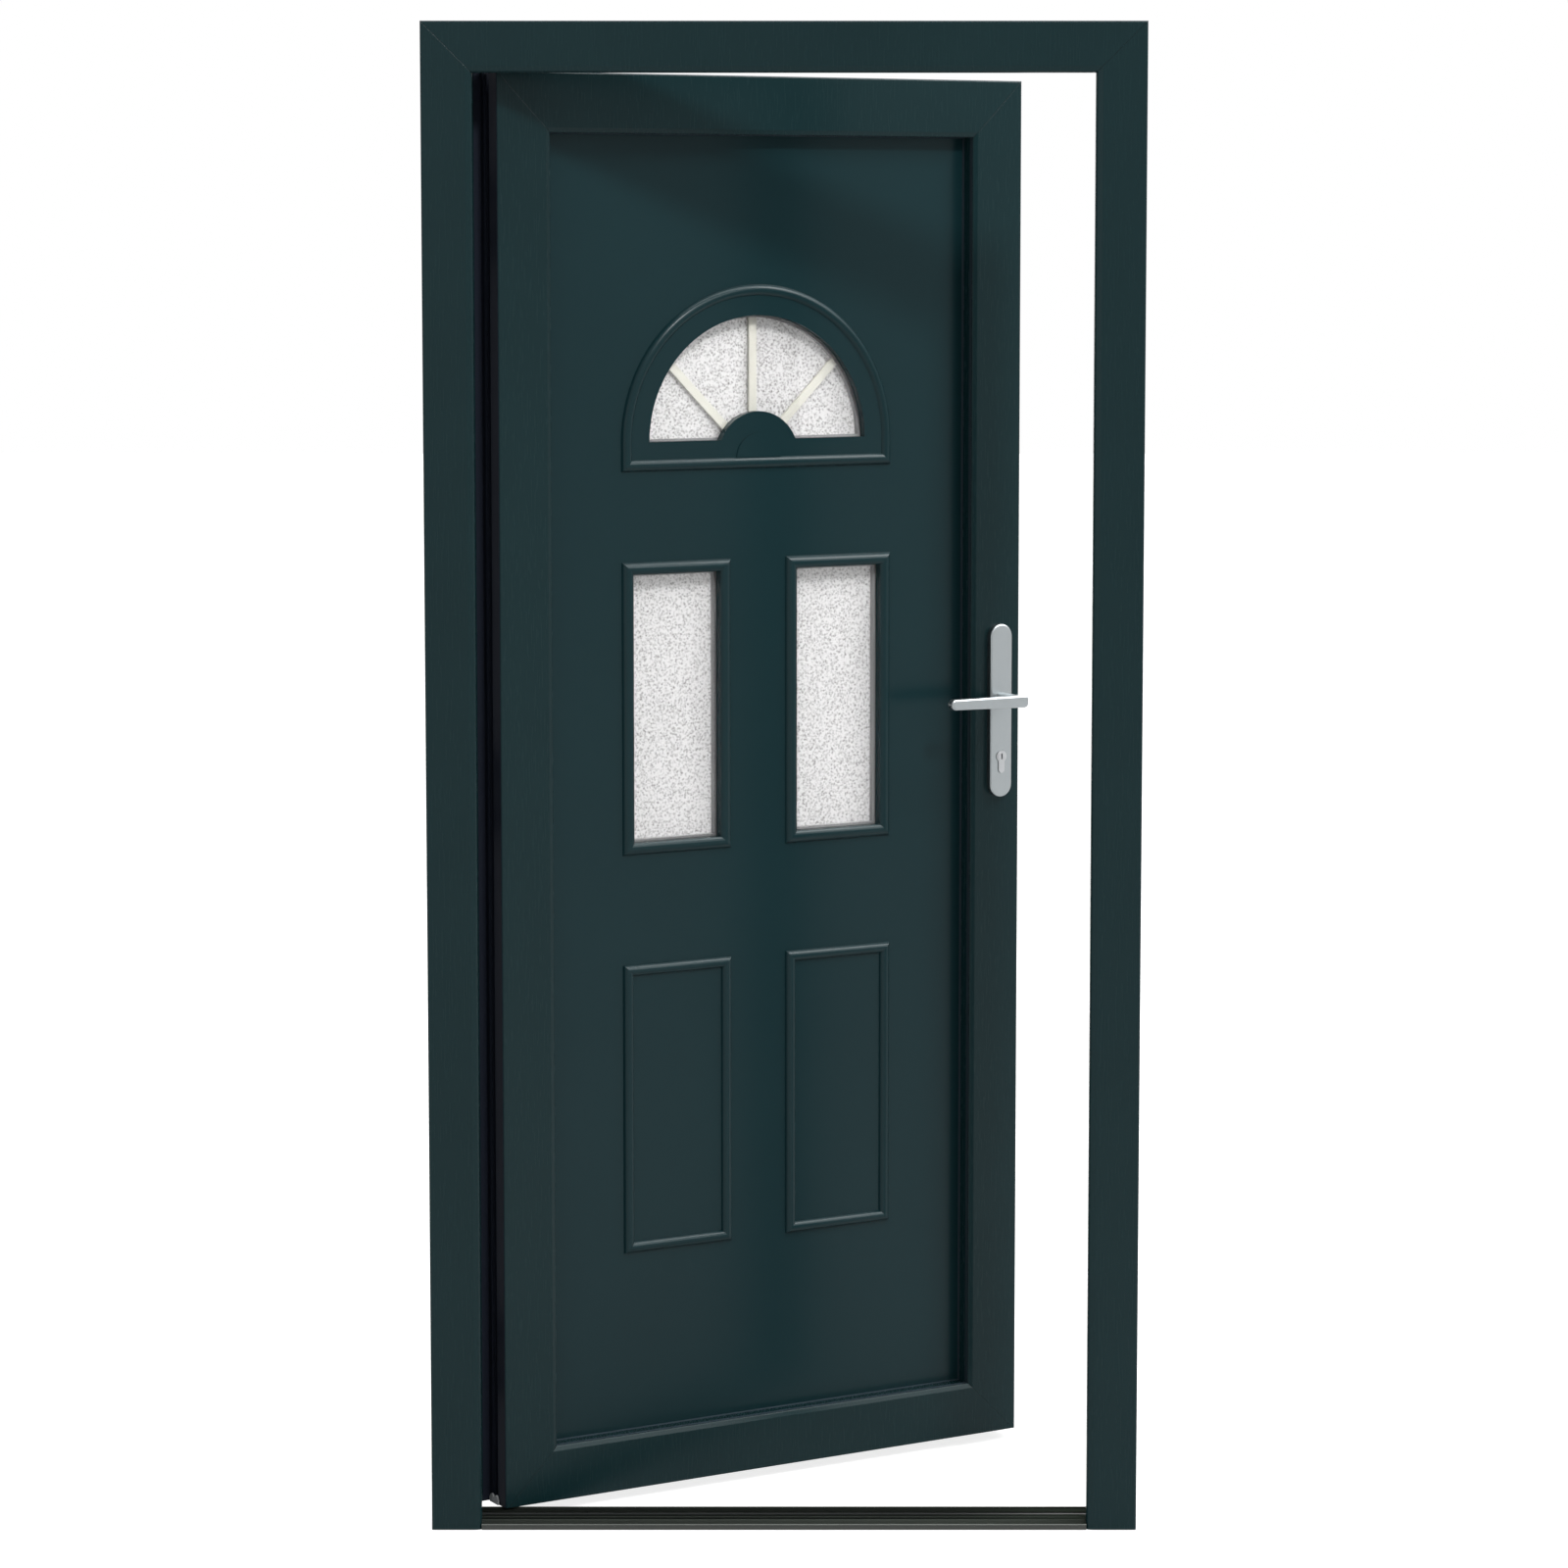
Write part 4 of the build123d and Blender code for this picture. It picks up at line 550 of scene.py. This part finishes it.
stile_x, stile_back = 0.022, 0.074
leaf_places = [on_leaf(stile_x, stile_back, z, inwards) for z in hinge_screw_heights]
faceplate_x, faceplate_y = 0.8497, 0.032
for z in (0.280, 0.740, 1.403, 1.820):
    leaf_places.append(on_leaf(faceplate_x, faceplate_y, z, from_lock))
screw_set("leaf_screw_set", leaf_places, "leaf", "leaf_screws", short_screw)

plate_x, plate_back = 0.8135, 0.080
screw_set("plate_screw_set", [on_leaf(plate_x, plate_back, z, inwards) for z in (0.9885, 1.2085)],
          "leaf", "handle_plate_screws", plate_screw)


# Handle plates and levers: die-cast zinc, satin chromed.
# Fine satin brushing runs up the plate and breaks up its reflections. It is drawn 1 mm across and
# 17 mm long, coarser than it is, so that it shows.

satin, tree, shader = material("satin_chrome", "#909597", 0.33, 1.0)
where = add(tree, "ShaderNodeTexCoord").outputs["Object"]
brushed_at = add(tree, "ShaderNodeMapping", {"Vector": where, "Scale": (900, 900, 60)})
brushed = add(tree, "ShaderNodeTexNoise", {"Vector": brushed_at.outputs["Vector"], "Scale": 1.0,
                                           "Detail": 3.0})
sheen = add(tree, "ShaderNodeMapRange", {"Value": brushed.outputs["Fac"], "To Min": 0.27,
                                         "To Max": 0.42})
tree.links.new(sheen.outputs["Result"], shader.inputs["Roughness"])
bump = add(tree, "ShaderNodeBump", {"Height": brushed.outputs["Fac"], "Strength": 0.08,
                                    "Distance": 0.0001})
tree.links.new(bump.outputs["Normal"], shader.inputs["Normal"])
dress(satin, "handle_plate_outer", "handle_plate_inner", "lever_outer", "lever_inner")


# Profile cylinder: turned brass, nickel plated and polished, a little brighter than the handle.
# Turning leaves rings too fine to see; the polish leaves a faint haze, under 1 mm across.

nickel, tree, shader = material("nickel_plated_brass", "#a6a8aa", 0.28, 1.0)
where = add(tree, "ShaderNodeTexCoord").outputs["Object"]
haze = add(tree, "ShaderNodeTexNoise", {"Vector": where, "Scale": 1400.0, "Detail": 2.0})
sheen = add(tree, "ShaderNodeMapRange", {"Value": haze.outputs["Fac"], "To Min": 0.22, "To Max": 0.36})
tree.links.new(sheen.outputs["Result"], shader.inputs["Roughness"])
dress(nickel, "cylinder_body", "cylinder_core")


# Floor: a plain pale floor that keeps the door's shadow and is white where nothing shades it.
# It glows only for rays that come from the eye, from gloss or through glass.

reach, floor_level, floor_glow = 30.0, -0.001, 0.78
floor_mesh = bpy.data.meshes.new("floor")
floor_mesh.from_pydata([(x * reach, y * reach, floor_level) for x, y in ((-1, -1), (1, -1), (1, 1), (-1, 1))],
                       [], [(0, 1, 2, 3)])
floor = bpy.data.objects.new("floor", floor_mesh)
bpy.context.scene.collection.objects.link(floor)


def seen_straight(tree):
    """The kinds of ray in this tree, and 1 for those from the eye, from gloss or through glass."""
    kinds = add(tree, "ShaderNodeLightPath").outputs
    seen = add(tree, "ShaderNodeMath", {0: kinds["Is Camera Ray"], 1: kinds["Is Transmission Ray"]},
               operation="MAXIMUM").outputs[0]
    seen = add(tree, "ShaderNodeMath", {0: seen, 1: kinds["Is Glossy Ray"]},
               operation="MAXIMUM").outputs[0]
    return kinds, seen


pale, tree, shader = material("pale_floor", "#c0c0c0", 0.9)
kinds, seen = seen_straight(tree)
glow = add(tree, "ShaderNodeEmission", {"Color": colour("#ffffff"), "Strength": floor_glow})
dark = add(tree, "ShaderNodeEmission", {"Strength": 0.0})
shown = add(tree, "ShaderNodeMixShader", {0: seen, 1: dark.outputs[0], 2: glow.outputs[0]})
total = add(tree, "ShaderNodeAddShader", {0: shader.outputs[0], 1: shown.outputs[0]})
tree.links.new(total.outputs[0], tree.nodes["Material Output"].inputs["Surface"])
floor_mesh.materials.append(pale)
floor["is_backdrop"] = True


# Studio: a white surround for the eye, for gloss and for glass, with a weaker light from all sides,
# stronger from above. A softbox above and to the right shows in gloss, on the edges and slopes that
# face upwards. Four lamps give the shadows.

level_light, top_light = 0.42, 0.78
softbox_way, softbox_light = (0.55, -0.20, 0.81), 9.0

world = bpy.data.worlds.new("studio")
bpy.context.scene.world = world
world.use_nodes = True
tree = world.node_tree
kinds, seen = seen_straight(tree)
sky = add(tree, "ShaderNodeTexCoord").outputs["Generated"]
up = add(tree, "ShaderNodeSeparateXYZ", {"Vector": sky}).outputs["Z"]
soft = add(tree, "ShaderNodeMapRange", {"Value": up, "From Min": 0.0, "From Max": 1.0,
                                        "To Min": level_light, "To Max": top_light})
level = add(tree, "ShaderNodeMix", {"Factor": seen, "A": soft.outputs["Result"], "B": 1.0})
towards = add(tree, "ShaderNodeVectorMath", {0: sky, 1: softbox_way}, operation="DOT_PRODUCT")
softbox = add(tree, "ShaderNodeMapRange", {"Value": towards.outputs["Value"], "From Min": 0.72,
                                           "From Max": 0.86, "To Min": 1.0, "To Max": softbox_light})
mirrored = add(tree, "ShaderNodeMath", {0: kinds["Is Glossy Ray"], 1: kinds["Is Transmission Ray"]},
               operation="SUBTRACT", use_clamp=True)
level = add(tree, "ShaderNodeMix", {"Factor": mirrored.outputs[0], "A": level.outputs[0],
                                    "B": softbox.outputs["Result"]})
surround = tree.nodes["Background"]
surround.inputs["Color"].default_value = (1, 1, 1, 1)
tree.links.new(level.outputs[0], surround.inputs["Strength"])

aim = Vector((0.0, 0.1, 1.05))
for name, place, size, watts in (("key", (1.9, -3.4, 4.77), 0.5, 122),
                                 ("side", (2.6, -0.3, 4.1), 1.0, 52),
                                 ("fill", (-2.2, -5.0, 2.0), 2.5, 12),
                                 ("rear", (0.5, 4.8, 3.6), 2.5, 125)):
    light = bpy.data.lights.new(name, "AREA")
    light.size = size
    light.energy = watts
    lamp = bpy.data.objects.new(name, light)
    lamp.location = place
    lamp.rotation_euler = (aim - Vector(place)).to_track_quat("-Z", "Y").to_euler()
    bpy.context.scene.collection.objects.link(lamp)


# Camera: about six metres in front of the frame and a little above eye height. It looks slightly down,
# and its picture is shifted a little.

looking_down = 5.893
camera = bpy.data.objects.new("camera", bpy.data.cameras.new("camera"))
camera.data.sensor_width = 36.0
camera.data.lens = 102.294
camera.data.shift_y = -0.06
camera.location = (0.0, -6.085, 1.80)
camera.rotation_euler = (radians(90 - looking_down), 0.0, 0.0)
bpy.context.scene.collection.objects.link(camera)
bpy.context.scene.camera = camera
bpy.context.scene.view_settings.view_transform = "Standard"

low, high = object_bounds()
